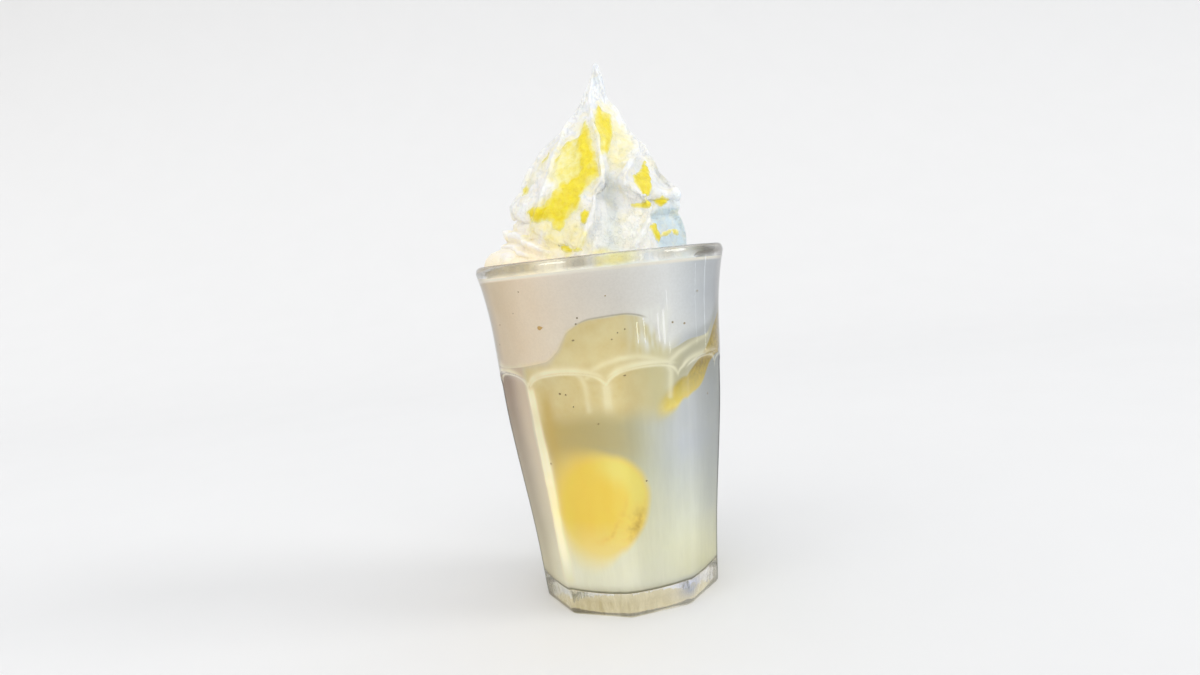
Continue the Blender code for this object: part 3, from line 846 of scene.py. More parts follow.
def foam_tones(finish):
    """Foam against the glass, with painted light warm on the left and cool on the right, and painted shade at
    both far sides.
    """
    return finish.over(
        (229, 208, 181),
        (finish.along("X", -36, 30), (248, 251, 255)),
        (finish.along("X", -26, -37, 0.8), (188, 167, 128)),
        (finish.along("X", 20, 36, 0.9), (166, 170, 178)),
        (finish.grain(9, 2, 0.5, 0.3, 0.7, 0.1), (255, 255, 250)),
        (finish.grain(0.8, 2, 0.7, 0.38, 0.62, 0.06), (130, 120, 100)),
    )


def milk_finish():
    """Cloudy lemon milk with the lemon in it seen through its surface."""
    finish = Finish("lemon_milk")
    rind = finish.over(
        (252, 232, 132),
        (finish.along("Z", 69.5, 81.5), (152, 126, 0)),
        (finish.grain(1.6, 3, 0.6, 0.35, 0.65, 0.32), (238, 206, 56)),
    )
    piece = finish.over(
        (254, 214, 74),
        (finish.noise(7, 3, 0.5, 0.35), (255, 228, 96)),
        (finish.along("Z", 34, 19, 0.75), (255, 238, 180)),
    )
    up = finish.along("Z", 12, 78)
    near_shade = finish.mix(up, (250, 243, 214), (228, 204, 174))
    dark_shade = finish.mix(up, (224, 212, 174), (164, 130, 92))
    # Over the milk's colour go painted lines of light from the glass, painted shade on the left, painted
    # glare, a painted highlight on the sunk piece and a dark ring of painted shade at the foot.
    tone = finish.over(
        milk_tones(finish),
        ("olive", finish.mix(finish.along("X", -20, 8), (216, 194, 122), (196, 189, 150))),
        ("flesh", flesh_tones(finish)),
        ("rind", rind),
        ("amber", (222, 192, 108)),
        ("piece", piece),
        ("crescent", (255, 238, 130)),
        ("peel", finish.mix(finish.grain(2.4, 3, 0.7, 0.36, 0.64), (204, 168, 62), (248, 218, 100))),
        ("shade", finish.mix("dark", near_shade, dark_shade)),
        ("seam", foam_tones(finish)),
        ("haze", HAZE_TONE),
        ("lines", finish.mix(finish.along("X", 2, 16), (255, 246, 213), (252, 248, 224))),
        ("foot", (128, 122, 92)),
    )
    # Painted light: the milk's underside and its low left glow, as do the beam at the left, the sunk piece
    # and the lines of light by the arches.
    low_left = finish.times(finish.along("X", 8, -6), finish.along("Z", 30, 14))
    glow = finish.plus(
        finish.along("Z", 7.4, 7, 0.62),
        finish.times(low_left, finish.along("Z", 7.4, 9, 0.06)),
        finish.times("glow", 0.40),
        finish.times("piece", 0.08),
        finish.times("spark", 0.15),
    )
    return finish.made_of(
        base_color=tone,
        roughness=0.5,
        specular_ior_level=0.1,
        subsurface_weight=finish.times("depth", 0.4),
        subsurface_radius=(1, 0.95, 0.75),
        subsurface_scale=10 * MM,
        emission_color=finish.mix("piece", (252, 243, 212), (255, 214, 100)),
        emission_strength=glow,
    )


def make_milk():
    angles = np.arange(MILK_COLUMNS) * WHOLE_TURN / MILK_COLUMNS
    floor = FLOOR_HEIGHT - MILK_REACH
    rows = [at_angle(angles, INNER_WALL[0][1] * share, floor) for share in MILK_FLOOR_SHARES]
    for height in MILK_FOOT_LEVELS:
        sunk = height - MILK_REACH * (height < MILK_SUNK_BELOW)
        rows.append(at_angle(angles, inner_radius(height) + MILK_REACH, sunk))
    edge = milk_edge(angles) + MILK_LAP
    for share in (*np.linspace(0, 1, MILK_ROWS), 1 + EDGE_SHARE):
        height = MILK_WALL_FOOT + (edge - MILK_WALL_FOOT) * share
        rows.append(at_angle(angles, inner_radius(height) + MILK_REACH, height))
    rows += divide_rows(angles, DIVIDE_SHARES[::-1])
    mesh = closed_skin("milk", np.array(rows), (0, 0, floor), (0, 0, MILK_CROWN))
    paint(mesh, **milk_fields(points_of(mesh)))
    add_piece(mesh, milk_finish(), "lemon_milk", "lemon_milk")


# The slice of lemon

def slice_finish():
    finish = Finish("lemon_slice")
    rind = finish.mix(finish.noise(1.4, 3, 0.6), (222, 192, 60), (244, 222, 96))
    tone = finish.over(
        (232, 214, 110),
        (finish.noise(1.8, 4, 0.6), (246, 236, 160)),
        (finish.spread("part", 0.25, 0.4), (246, 240, 205)),
        (finish.spread("part", 0.7, 0.85), rind),
    )
    return finish.made_of(
        base_color=tone,
        roughness=0.35,
        subsurface_weight=0.15,
        subsurface_radius=(1, 0.8, 0.3),
        subsurface_scale=2 * MM,
        normal=finish.bump(finish.noise(0.9, 2, 0.5), 0.25, 0.5),
    )


def slice_rows():
    """Rows of the slice in its own frame, from the middle of one face to the other.

    Also how far each row is from flesh (0) through pith (0.5) to rind (1).
    """
    turn = np.arange(SLICE_COLUMNS) * 2 * math.pi / SLICE_COLUMNS
    half = SLICE_THICKNESS / 2
    segment = np.abs((turn / (2 * math.pi) * SEGMENTS) % 1 - 0.5) * 2
    rows = []
    parts = []

    def ring(radius, z):
        return np.stack(np.broadcast_arrays(np.cos(turn) * radius, np.sin(turn) * radius, z), -1)

    def face_row(radius, side):
        share = radius / FLESH_END
        membrane = ramp(0.80, 0.97, segment) if share < 1 else np.ones_like(segment)
        wall = np.maximum(membrane, max(ramp(0.20, 0.10, share), ramp(0.93, 1, share)))
        grain = 0.18 * noise(ring(radius, 0), 1.6, 11 + side)
        rows.append(ring(radius, side * (half - np.maximum((0.55 + grain) * (1 - wall), 0))))
        parts.append(0.5 * wall)

    radii = (*np.linspace(1.5, FLESH_END, 26), *PITH_RADII)
    for radius in radii:
        face_row(radius, -1)
    for tilt in np.radians(np.linspace(-90, 90, 17)):
        bulge = SLICE_RADIUS - RIND_BULGE + RIND_BULGE * math.cos(tilt)
        level = half * math.sin(tilt)
        pore = noises(ring(bulge, level), (0.10, 1.1, 21), (0.12, 3, 22))
        rows.append(ring(bulge + pore, level))
        parts.append(np.full_like(turn, 0.5 + 0.5 * ramp(88, 70, math.degrees(abs(tilt)))))
    for radius in radii[::-1]:
        face_row(radius, 1)
    return np.array(rows), np.array(parts)


def make_slice():
    rows, parts = slice_rows()
    basis = np.array(Vector(SLICE_NORMAL).to_track_quat("Z", "Y").to_matrix())
    centre = np.array(SLICE_CENTRE)
    placed = rows @ basis.T + centre
    wall = inner_radius(placed[..., 2]) + LEMON_REACH
    pull = np.minimum(1, wall / np.hypot(placed[..., 0], placed[..., 1]))
    placed[..., :2] *= pull[..., None]
    half = basis[:, 2] * SLICE_THICKNESS / 2
    mesh = closed_skin("slice", placed, centre - half, centre + half)
    paint(mesh, part=np.concatenate((parts.ravel(), [0.5, 0.5])))
    add_piece(mesh, slice_finish(), "lemon", "lemon_slice")


# The cream

def crest_angle(pleat, height):
    turns, index = divmod(pleat, len(PLEATS))
    return smooth_curve(PLEATS[index][0], height) + WHOLE_TURN * turns


def crests(heights):
    """Angles of the crests on both sides of all columns, for heights with the columns last."""
    before = np.empty(heights.shape)
    after = np.empty(heights.shape)
    for pleat in range(len(PLEATS)):
        part = slice(pleat * COLUMNS_PER_PLEAT, (pleat + 1) * COLUMNS_PER_PLEAT)
        before[..., part] = crest_angle(pleat, heights[..., part])
        after[..., part] = crest_angle(pleat + 1, heights[..., part])
    return before, after


def cream_shares():
    """How far each column is across its pleat, and how deep that pleat's hollow is."""
    steps = crowded_steps(COLUMNS_PER_PLEAT, CREST_CROWDING)
    return np.tile(steps, len(PLEATS)), np.repeat([depth for _, depth in PLEATS], COLUMNS_PER_PLEAT)


def column_turn(heights):
    """Angles of all columns, for heights with the columns last."""
    before, after = crests(heights)
    return before + (after - before) * cream_shares()[0]


def outline_at(height):
    """The middle and the half width of the cream's outline."""
    left = table_curve(CREAM_OUTLINE, 1, height)
    right = table_curve(CREAM_OUTLINE, 2, height)
    return (left + right) / 2, (right - left) / 2


def lip_at(angle):
    turn = wrapped(angle)
    return table_curve(LIP, 1, turn), table_curve(LIP, 2, turn)


def heap_at(angle):
    distance = np.abs(wrapped(angle - HEAP_ANGLE)) / HEAP_SPREAD
    return np.maximum(0, 1 - distance * distance) ** 2


def side_levels():
    """Heights and insets up every column of the peak."""
    count = COLUMNS_PER_PLEAT * len(PLEATS)
    lip = np.full(count, LIP_START)
    for _ in range(LIP_ROUNDS):
        lip, tuck = lip_at(column_turn(lip))
    foot = SKIRT_FOOT + HEAP_RISE * heap_at(column_turn(np.full(count, SKIRT_FOOT)))
    droop = np.minimum(1, tuck / FULL_DROOP_TUCK)
    heights = [foot + (lip - UNDER_LIP - foot) * share for share in BELOW_LIP]
    insets = [tuck * share ** 3 for share in BELOW_LIP]
    for plain, hooked, share, bulge in LIP_POINTS:
        heights.append(lip + plain + (hooked - plain) * droop)
        insets.append(tuck * share - bulge * droop)
    start = heights[-1]
    heights += [start + (CREAM_TOP - PEAK_GAP - start) * share for share in ABOVE_LIP]
    insets += [np.zeros(count)] * len(ABOVE_LIP)
    return resample(heights, SIDE_STEPS), resample(insets, SIDE_STEPS)


def cream_side():
    """Points and angles up the side of the peak."""
    heights, insets = side_levels()
    centre, half_width = outline_at(heights)
    share, depth = cream_shares()
    hollow = depth * smooth_curve(HOLLOW_DEPTH, heights) * np.sin(math.pi * share)
    turn = column_turn(heights)
    return at_angle(turn, half_width * (1 - hollow) - insets, heights, centre), turn


def cream_skirt(angles, side_foot):
    """Points from where the foam touches the wall, out over the rim and up to the peak's foot."""
    heap = heap_at(angles)
    rings = [at_angle(angles, inner_radius(CONTACT_HEIGHT) + CREAM_REACH, CONTACT_HEIGHT)]
    for radius, rise, heap_radius, heap_rise in SKIRT_RINGS:
        reach = radius + (heap_radius - radius) * heap
        rings.append(at_angle(angles, reach, CONTACT_HEIGHT + rise + (heap_rise - rise) * heap))
    return resample(rings + [side_foot], SKIRT_STEPS)[:-1]


def surface_normals(grid):
    """Outward directions of a grid of points that closes round each row."""
    across = np.roll(grid, -1, axis=1) - np.roll(grid, 1, axis=1)
    normal = np.cross(across, np.gradient(grid, axis=0))
    return normal / np.maximum(np.linalg.norm(normal, axis=-1, keepdims=True), TINY)


CREAM_SCALE = 31
LEFT_FOLDS = (
    ((-84, 133), (-54, 130.4), (-43, 128), (-37, 126.2), (-30, 124.2)),
    ((-84, 128.4), (-62, 127.6), (-46, 124.6), (-36, 121.5)),
)
# Lumps on the cream: angle, height, half width, half height, rise
LUMPS = (
    (-64, 140.6, 5, 2.6, 1.1), (60, 138.4, 5, 2.6, 0.8), (82, 138.8, 8, 2.6, 1.3),
    (24, 128.5, 6.5, 5.5, 0.8), (51, 132.6, 4.6, 1.7, -1.5), (12, 138, 4.5, 6, -0.7),
    (-56, 124, 5, 2.6, 0.7), (82, 147, 9, 3.6, -1.5), (82, 143.2, 8, 2, -0.8), (-50, 152, 3, 5, -0.5),
)
# Overhanging edges of the swirl: rise, drop, then angle and height, with the proud side on the
# left going down
PROUD_EDGES = (
    (0.95, 1.3, (
        (8.9, 150.6), (8.2, 146.5), (5, 143.2), (1.6, 141.5), (-0.4, 138.7), (-0.9, 134.7), (-0.8, 131.2),
        (-3.3, 128.2), (-6.4, 125.3), (-9, 121.5),
    )),
    (0.8, 1.1, ((47, 135.5), (43.6, 134.1), (37, 131), (32.4, 128.6), (28.1, 124.3), (25, 121))),
    (0.5, 0.8, ((36, 150), (30, 147.6), (22, 145.2), (21.3, 143.4), (24, 140.6), (28, 139))),
    (0.9, 1.1, ((132, 136), (126, 132), (117, 127.5), (108, 121))),
    (0.8, 1, ((174, 135), (168, 131.5), (160, 126.5), (152, 121))),
    (0.9, 1.1, ((-106, 136.5), (-112, 132.5), (-122, 127.5), (-134, 121.5))),
    (0.7, 0.9, ((-146, 136), (-150, 131), (-160, 126), (-168, 121))),
)


def crest_relief(points, half_width):
    """A thin raised line along each crest, with a groove beside it."""
    heights = points[..., 2]
    share, _ = cream_shares()
    before, after = crests(heights)
    from_crest = np.minimum(share, 1 - share) * np.radians(after - before) * half_width
    lower = ramp(121, 128, heights) * (1 - 0.5 * ramp(176, 186, heights))
    line = 0.62 * bell(from_crest, 0.6) * (0.9 + 0.6 * noise(points, 6, 31))
    groove = 0.42 * bell(from_crest - 1.5, 0.7) * (1 + 0.5 * noise(points, 5, 37))
    return (line - groove) * lower


SWIRL_RADIUS = 30
SWIRL_FLATTENING = 0.16
SWIRL_FULL_WIDTH = 25


def swirl_relief(points, half_width):
    """Wrinkles that follow the pleats, and small lumps."""
    heights = points[..., 2]
    pleat = np.repeat(np.arange(len(PLEATS)), COLUMNS_PER_PLEAT)
    turn = 2 * math.pi * (pleat + cream_shares()[0]) / len(PLEATS)
    x = SWIRL_RADIUS * np.cos(turn)
    y = SWIRL_RADIUS * np.sin(turn)
    flow = np.stack(np.broadcast_arrays(x, y, heights * SWIRL_FLATTENING), -1)
    wrinkles = noises(flow, (0.30, 3.2, 32), (0.16, 1.4, 33))
    lumps = noises(points, (0.50, 6.5, 34), (0.42, 2.8, 35), (0.22, 1.3, 36))
    narrow = np.clip(half_width / SWIRL_FULL_WIDTH, 0.25, 1)
    return (wrinkles + lumps) * narrow * band(119, 124, 182, 188, heights)


def cream_relief(points, turn):
    """How far the fine forms of the cream stand out or lie back."""
    heights = points[..., 2]
    turn = wrapped(turn)
    _, half_width = outline_at(heights)
    relief = crest_relief(points, half_width) + swirl_relief(points, half_width)
    for angle, height, half_lump, half_height, rise in LUMPS:
        across = np.radians(wrapped(turn - angle)) * CREAM_SCALE
        relief += rise * bell(across, half_lump) * bell(heights - height, half_height)

    x = np.radians(turn) * CREAM_SCALE
    for path in LEFT_FOLDS:
        away = path_distance(unrolled(path, CREAM_SCALE), x, heights)
        fold = bell(away + 1.1, 1) - 0.9 * bell(away - 0.6, 0.7)
        relief += 1.25 * fold * band(-92, -78, -34, -22, turn) * ramp(121.5, 124, heights)
    for rise, drop, path in PROUD_EDGES:
        away = path_distance(unrolled(path, CREAM_SCALE), x, heights)
        top = path[0][1]
        ends = band(119.5, 122.5, top - 1, top + 2, heights)
        relief += (rise * bell(away + 0.6, 0.7) - drop * bell(away - 1.7, 1.3)) * ends
    ledge = 1.1 * band(132.9, 134.2, 135.5, 138, heights) - 0.5 * bell(heights - 132.4, 0.7)
    return relief + ledge * band(36, 44, 84, 100, turn)


# Outlines of the sauce on the cream, as angle and height, each with its thickness
SAUCE = (
    (0.55, (
        (-16.9, 167), (-21.5, 164.4), (-18.5, 161.5), (-33.1, 160.3), (-36.5, 158.5), (-35, 154.6),
        (-34.2, 150.7), (-33.9, 148), (-28.6, 145.6), (-27.7, 144), (-29.7, 142.9), (-32.3, 140.8),
        (-38, 139), (-53, 139.2), (-56.5, 137.4), (-52.5, 135.1), (-39.2, 133.1), (-33.5, 133.8),
        (-30.2, 132.7), (-27.7, 130.6), (-22.5, 129.2), (-18.1, 130.5), (-18.9, 132.7), (-16.7, 135),
        (-11.5, 135.1), (-9.2, 137.9), (-9.5, 140.3), (-4.7, 142.4), (0.5, 144.5), (5.5, 146.3),
        (5.4, 149.5), (5.4, 154.1), (3, 158.7), (-1.4, 163.1),
    )),
    (0.5, (
        (13.8, 173), (23.8, 170), (54.8, 168.8), (54.8, 164.9), (41.6, 160.6), (25.5, 156.8), (20.3, 153.3),
        (14.5, 154.4), (12, 158), (8.2, 161.5), (3.9, 165.6), (0.3, 169.4),
    )),
    (0.6, (
        (72.1, 152), (67.3, 149), (62.5, 145.8), (57.5, 142.8), (49.5, 138.8), (37.2, 138.9), (39.1, 141.3),
        (35.9, 143.5), (36.7, 145.9), (56.1, 148.1),
    )),
    (0.5, ((25.6, 136.2), (30, 136.9), (37, 136.9), (46.5, 136.8), (46.5, 135), (33, 134.2), (26.6, 134.2))),
    (0.5, ((54.5, 137.9), (58, 138.4), (62.5, 137.6), (62, 135.7), (58, 134.7), (54.5, 135.6))),
    (0.8, ((-10, 134.8), (-8, 136.3), (-5.2, 135.2), (-3.9, 133.1), (-5, 131.2), (-8.3, 131.2), (-9.8, 133))),
    (0.6, ((-20.9, 125), (-17.2, 125.7), (-14.7, 124.7), (-14, 123.1), (-17.5, 122.4), (-21.1, 123.7))),
    (0.3, ((-13.2, 123.7), (-8.5, 123.8), (-5.5, 123), (-6.3, 122.2), (-12, 122.5))),
    (0.6, (
        (35.4, 129.2), (46, 129.2), (46.5, 126.8), (49.1, 124.3), (45.4, 122.9), (41.2, 124), (38.3, 126.8),
    )),
    (0.4, ((45.8, 124.9), (53.1, 126.2), (61.5, 127.1), (61.2, 125.5), (52.2, 125), (47.3, 123.9))),
    (0.5, ((60.9, 126.8), (64.8, 127.6), (68.2, 126.1), (67.4, 124.7), (62.1, 125))),
    (0.3, ((-64, 157.9), (-60, 158.2), (-57, 156.1), (-60.5, 153.3), (-64, 152.9), (-66, 155))),
    (0.4, ((-69.5, 148.4), (-64.6, 146.6), (-64.1, 144.7), (-67.8, 144), (-70.5, 146.3))),
    (0.45, (
        (140, 174), (162, 172), (172, 166), (170, 160), (176, 154), (172, 149), (162, 147), (160, 142),
        (155, 138.5), (151, 141), (153, 147), (143, 149), (136, 146), (131, 141.5), (126, 142.5),
        (130, 149), (140, 155), (146, 162), (134, 168),
    )),
    (0.4, ((-160, 160), (-151, 157), (-149, 150), (-152, 144), (-156, 146), (-158, 153))),
    (0.5, ((104, 152), (111, 149), (113, 144), (109, 140), (104, 141.5), (102, 146))),
    (0.5, ((-116, 132), (-106, 131), (-104, 127.5), (-112, 126), (-119, 128.5))),
)
# The first so many of them are large patches, which thin out more slowly at their edges
LARGE_PATCHES = 2
# Where the largest one is thin enough for the cream to show through
THIN_SAUCE = (
    (-17.3, 161.5), (-33.4, 158.5), (-36.6, 153.1), (-35.1, 147.2), (-26.6, 144.2), (-18.9, 145.1),
    (-10.8, 147.1), (-7.7, 151.8), (-12.6, 157),
)
THIN_SHARE = 0.72
NO_SAUCE = -2

# Outlines of cream that only has a tint of sauce, and how strong it is there
TINTED = (
    (0.62, (
        (53.4, 168), (74.5, 166), (66.7, 161.6), (56.6, 157), (41.9, 152.5), (28.5, 148.8), (19.7, 148.1),
        (17.2, 151.4), (21.2, 156.3), (40.1, 161.7),
    )),
    (0.4, ((41.7, 175.2), (66.9, 172.3), (75, 169.2), (55.3, 169.1), (25.2, 171.1))),
    (0.45, ((-34.2, 126.4), (-28.7, 125.3), (-20.8, 121.3), (-31.9, 121.1))),
    (0.72, ((-40, 137), (-24, 133), (-8, 132), (-2, 124), (-16, 121), (-32, 126))),
    (0.66, ((-56, 134.5), (-42, 137), (-31, 133), (-38, 129), (-52, 129.5))),
    (0.14, ((26, 134), (43, 134), (33, 128), (26, 122), (13, 121), (11, 127), (16, 132))),
    (0.7, ((-2, 121.6), (8, 122.4), (14, 121.6), (15, 118), (6, 117.6), (-2, 118))),
    (0.35, ((-74, 150), (-62, 158), (-50, 164), (-56, 152), (-64, 145))),
    (0.5, ((130, 178), (176, 174), (179, 150), (166, 136), (124, 138), (126, 150), (138, 162))),
    (0.45, ((-164, 164), (-146, 158), (-144, 142), (-160, 140))),
)
# Painted cool shade on the cream, below the fold that hangs over it on the right: angle and height
COOL_SIDE = (
    (43, 119), (42, 128), (47, 132), (54, 134.5), (62, 138), (70, 140.4), (90, 141.5), (112, 143),
    (136, 140), (140, 119),
)


def outline_depth(outline, turn, heights):
    """Distance in from an outline on the cream, which is below zero outside it."""
    x = np.radians(wrapped(turn)) * outline_at(heights)[1]
    angles, levels = np.array(outline, float).T
    corners = list(zip(np.radians(angles) * outline_at(levels)[1], levels))
    best = np.full(np.shape(x), FAR)
    inside = np.zeros(np.shape(x), bool)
    for start, end in zip(corners[-1:] + corners, corners):
        (x0, z0), (x1, z1) = start, end
        best = np.minimum(best, line_distance(start, end, x, heights))
        between = (z0 > heights) != (z1 > heights)
        rise = z1 - z0 if z1 != z0 else TINY
        inside ^= between & (x < x0 + (heights - z0) * (x1 - x0) / rise)
    return np.where(inside, best, -best)


def sauce_depth(points, turn):
    """Thickness of the sauce, which is below zero where there is none."""
    heights = points[..., 2]
    warp = noises(points, (0.50, 2.2, 41), (0.36, 0.9, 42))
    beads = 0.55 * np.maximum(0, noise(points, 3.4, 45)) * ramp(150, 142, heights)
    uneven = 1 + 0.35 * noise(points, 2.2, 46)
    depth = np.full(turn.shape, NO_SAUCE)
    for i, (thickness, outline) in enumerate(SAUCE):
        inward = outline_depth(outline, turn, heights) + warp
        full = thickness * uneven + beads
        if i == 0:
            streaks = 1.2 * noise(flattened(points, 0.3), 1.5, 47)
            into_thin = outline_depth(THIN_SAUCE, turn, heights) + streaks
            full *= 1 - THIN_SHARE * ramp(-1, 1.6, into_thin)
        taper = 1.4 if i < LARGE_PATCHES else 0.9
        film = np.where(inward > 0, full * (1 - np.exp(-inward / taper)), np.maximum(inward, NO_SAUCE))
        depth = np.maximum(depth, film)
    return depth


def wash_share(points, turn):
    """Where the cream has a tint of sauce, under the large patches and round them too."""
    warp = noises(points, (0.9, 2.6, 43), (0.5, 1.1, 44))
    areas = [(0.75, SAUCE[0][1], -2.2, 0.4), (0.75, SAUCE[1][1], -1.6, 0.4)]
    areas += [(strength, outline, -1.4, 1.2) for strength, outline in TINTED]
    share = 0
    for strength, outline, low, high in areas:
        inward = outline_depth(outline, turn, points[..., 2]) + warp
        share = np.maximum(share, strength * ramp(low, high, inward))
    return share * (0.85 + 0.35 * noise(points, 1.6, 48))


def cool_share(points, turn):
    warp = noises(points, (0.8, 2.6, 43), (0.4, 1.1, 44))
    return 0.75 * ramp(-1, 1.6, outline_depth(COOL_SIDE, turn, points[..., 2]) + warp)


def hollow_share(points, turn):
    """The shaded hollows of the pleats, low down and on the right."""
    share, depth = cream_shares()
    turn = wrapped(turn)
    hollow = 0.6 * np.sin(math.pi * share) ** 2 * np.minimum(1, depth / 0.3)
    hollow = hollow * ramp(162, 146, points[..., 2]) * ramp(-30, 0, turn)
    return hollow * (1 - 0.85 * band(13, 22, 50, 60, turn))


def cream_finish():
    finish = Finish("whipped_cream")
    warm = finish.times(finish.along("Z", 140, 120), finish.along("X", 4, -22))
    vein_noise = finish.noise(5, 4, 0.65, 0.55)
    vein_depth = finish.maths("ABSOLUTE", finish.maths("SUBTRACT", vein_noise, 0.5))
    veins = finish.spread(vein_depth, 0.022, 0, 0.34)
    # The foam seen through the glass, with a painted highlight along its top where it meets the glass.
    foam = finish.over(
        milk_tones(finish),
        ("flesh", flesh_tones(finish)),
        ("seam", foam_tones(finish)),
        ("haze", HAZE_TONE),
        ("brim", (156, 146, 116)),
        (finish.along("Z", 115.7, 116.4), (250, 244, 232)),
    )
    # Painted light on the cream: warm on the lower left and bluish at the top, with painted shade on the cool
    # side, in the hollows, in the veins and where the relief lies low, and painted highlights where it stands
    # proud.
    tone = finish.over(
        (247, 246, 242),
        (warm, (254, 242, 214)),
        (finish.along("Z", 150, 178), (247, 250, 253)),
        ("cool", (200, 226, 237)),
        (finish.grain(4.5, 3, 0.6, 0.48, 0.66, 0.5), (247, 238, 200)),
        (finish.grain(5.5, 3, 0.6, 0.40, 0.28, 0.5, 0.8), (220, 233, 242)),
        ("hollow", (208, 216, 211)),
        (veins, (198, 209, 220)),
        (finish.spread("relief", -0.5, -1.6, 0.26), (200, 210, 214)),
        (finish.spread("relief", 0.35, 1.1, 0.7), (248, 251, 252)),
        ("wash", finish.mix(finish.grain(2.2, 3, 0.6, 0.35, 0.7), (245, 236, 168), (247, 230, 112))),
        ("inside", foam),
    )
    relief = finish.plus(finish.noise(0.7, 3, 0.6), finish.noise(2.2, 3, 0.6), finish.times(veins, -0.8))
    # Painted light: the cream glows a little all over, more and warmer on the lower left, and less where it
    # lies against the glass.
    light = finish.plus(finish.spread(warm, 0, 1, 0.20, 0.062), finish.times("inside", -0.05))
    return finish.made_of(
        base_color=tone,
        roughness=0.42,
        specular_ior_level=0.35,
        subsurface_weight=finish.spread("inside", 0, 1, 0, 0.2),
        subsurface_radius=(1, 0.85, 0.6),
        subsurface_scale=3 * MM,
        normal=finish.bump(relief, 0.8, finish.spread("inside", 0, 0.5, 0, 0.82)),
        emission_color=finish.mix(warm, (250, 250, 252), (255, 228, 186)),
        emission_strength=light,
    )


def sauce_finish():
    finish = Finish("lemon_sauce")
    mottle = finish.grain(1.8, 4, 0.7, 0.34, 0.66)
    deep = finish.over(
        (236, 210, 12),
        (mottle, (250, 232, 46)),
        (finish.grain(4, 3, 0.65, 0.36, 0.64, 0.15), (250, 240, 130)),
    )
    tone = finish.over(
        (244, 232, 134),
        (mottle, (249, 243, 188)),
        (finish.spread("depth", 0.05, 0.42), deep),
        (finish.spread("depth", 0.14, 0, 0.8), (249, 244, 206)),
    )
    return finish.made_of(
        base_color=tone,
        roughness=0.25,
        ior=1.42,
        subsurface_weight=0.2,
        subsurface_radius=(1, 0.8, 0.15),
        subsurface_scale=2 * MM,
        coat_weight=0.12,
        coat_roughness=0.15,
        normal=finish.bump(mottle, 0.35, 0.7),
    )


def shell_mesh(name, outer, inner, chosen):
    """A closed thin mesh between two grids, over the chosen faces of them."""
    rows, columns, _ = outer.shape
    i, j = np.nonzero(chosen)
    k = (j + 1) % columns
    quads = np.stack((i * columns + j, i * columns + k, (i + 1) * columns + k, (i + 1) * columns + j), -1)
    offset = rows * columns
    under = quads[:, ::-1] + offset
    edges = {}
    for quad in quads.tolist():
        for a, b in zip(quad, quad[1:] + quad[:1]):
            if (b, a) in edges:
                del edges[(b, a)]
            else:
                edges[(a, b)] = True
    faces = quads.tolist() + under.tolist() + [[b, a, a + offset, b + offset] for a, b in edges]
    points = np.concatenate((outer.reshape(-1, 3), inner.reshape(-1, 3)))
    used = np.unique(np.concatenate((quads, under)))
    place = np.full(len(points), -1)
    place[used] = np.arange(len(used))
    mesh = bpy.data.meshes.new(name)
    mesh.from_pydata((points[used] * MM).tolist(), [], [[int(place[v]) for v in face] for face in faces])
    mesh.shade_smooth()
    return mesh, used


# How far the sauce's skin goes under the cream, and how far past its edges it runs
SAUCE_ROOT = 0.7
SAUCE_FRINGE = -0.25


def make_sauce(shaped, depth):
    normals = surface_normals(shaped)
    lift = np.where(depth > 0, depth, np.maximum(depth * 0.4, -0.5))
    here = depth > SAUCE_FRINGE
    nearby = here | np.roll(here, -1, axis=1)
    outer = shaped + normals * lift[..., None]
    mesh, used = shell_mesh("sauce", outer, shaped - normals * SAUCE_ROOT, nearby[:-1] | nearby[1:])
    paint(mesh, depth=np.tile(depth.ravel(), 2)[used])
    add_piece(mesh, sauce_finish(), "lemon_sauce", "whipped_cream")


# Shares up the foam that lies against the wall, for its rows of points
FOAM_SHARES = np.concatenate(([0, 0.004, 0.012], np.linspace(0.02, 1, 46)[:-1]))


def make_cream():
    side, turn = cream_side()
    angles = column_turn(np.full(side.shape[1], SKIRT_FOOT))
    skirt = cream_skirt(angles, side[0])
    shown = np.concatenate((skirt, side))
    turns = np.concatenate((np.tile(angles, (len(skirt), 1)), turn))
    relief = cream_relief(shown, turns)
    from_wall = ramp(0, 0.5, np.linspace(0, 1, len(skirt)))[:, None]
    relief[:len(skirt)] += noises(skirt, (0.35, 5, 51), (0.15, 2, 52)) * from_wall
    shaped = shown + surface_normals(shown) * relief[..., None]

    edge = milk_edge(angles)
    hidden = divide_rows(angles, DIVIDE_SHARES)
    sharp_row = len(hidden)
    for share in FOAM_SHARES:
        height = edge + (CONTACT_HEIGHT - edge) * share
        hidden.append(at_angle(angles, inner_radius(height) + CREAM_REACH, height))
    top = (float(outline_at(CREAM_TOP)[0]), 0, CREAM_TOP)
    mesh = closed_skin("cream", np.concatenate((hidden, shaped)), (0, 0, MILK_CROWN), top, sharp_row)

    def whole(values, below=0):
        """Values of the shown points with one for the hidden points, and with 0 for both poles."""
        return np.concatenate((np.full(len(hidden) * len(angles), below), values.ravel(), (0, 0)))

    inside = np.zeros(shown.shape[:2])
    inside[0] = 1
    inside[1] = 0.6
    points = points_of(mesh)
    angle = angles_of(points)
    brim = bell(points[:, 2] - milk_edge(angle) - 0.25, 0.3) * band(-18, -9, 16, 21, angle)
    paint(
        mesh,
        cool=whole(cool_share(shown, turns)),
        hollow=whole(hollow_share(shown, turns)),
        wash=whole(wash_share(shown, turns)),
        relief=whole(relief),
        inside=whole(inside, 1),
        brim=0.6 * brim,
        **wall_fields(points),
    )
    add_piece(mesh, cream_finish(), "whipped_cream", "whipped_cream")
    make_sauce(shaped, sauce_depth(shown, turns))


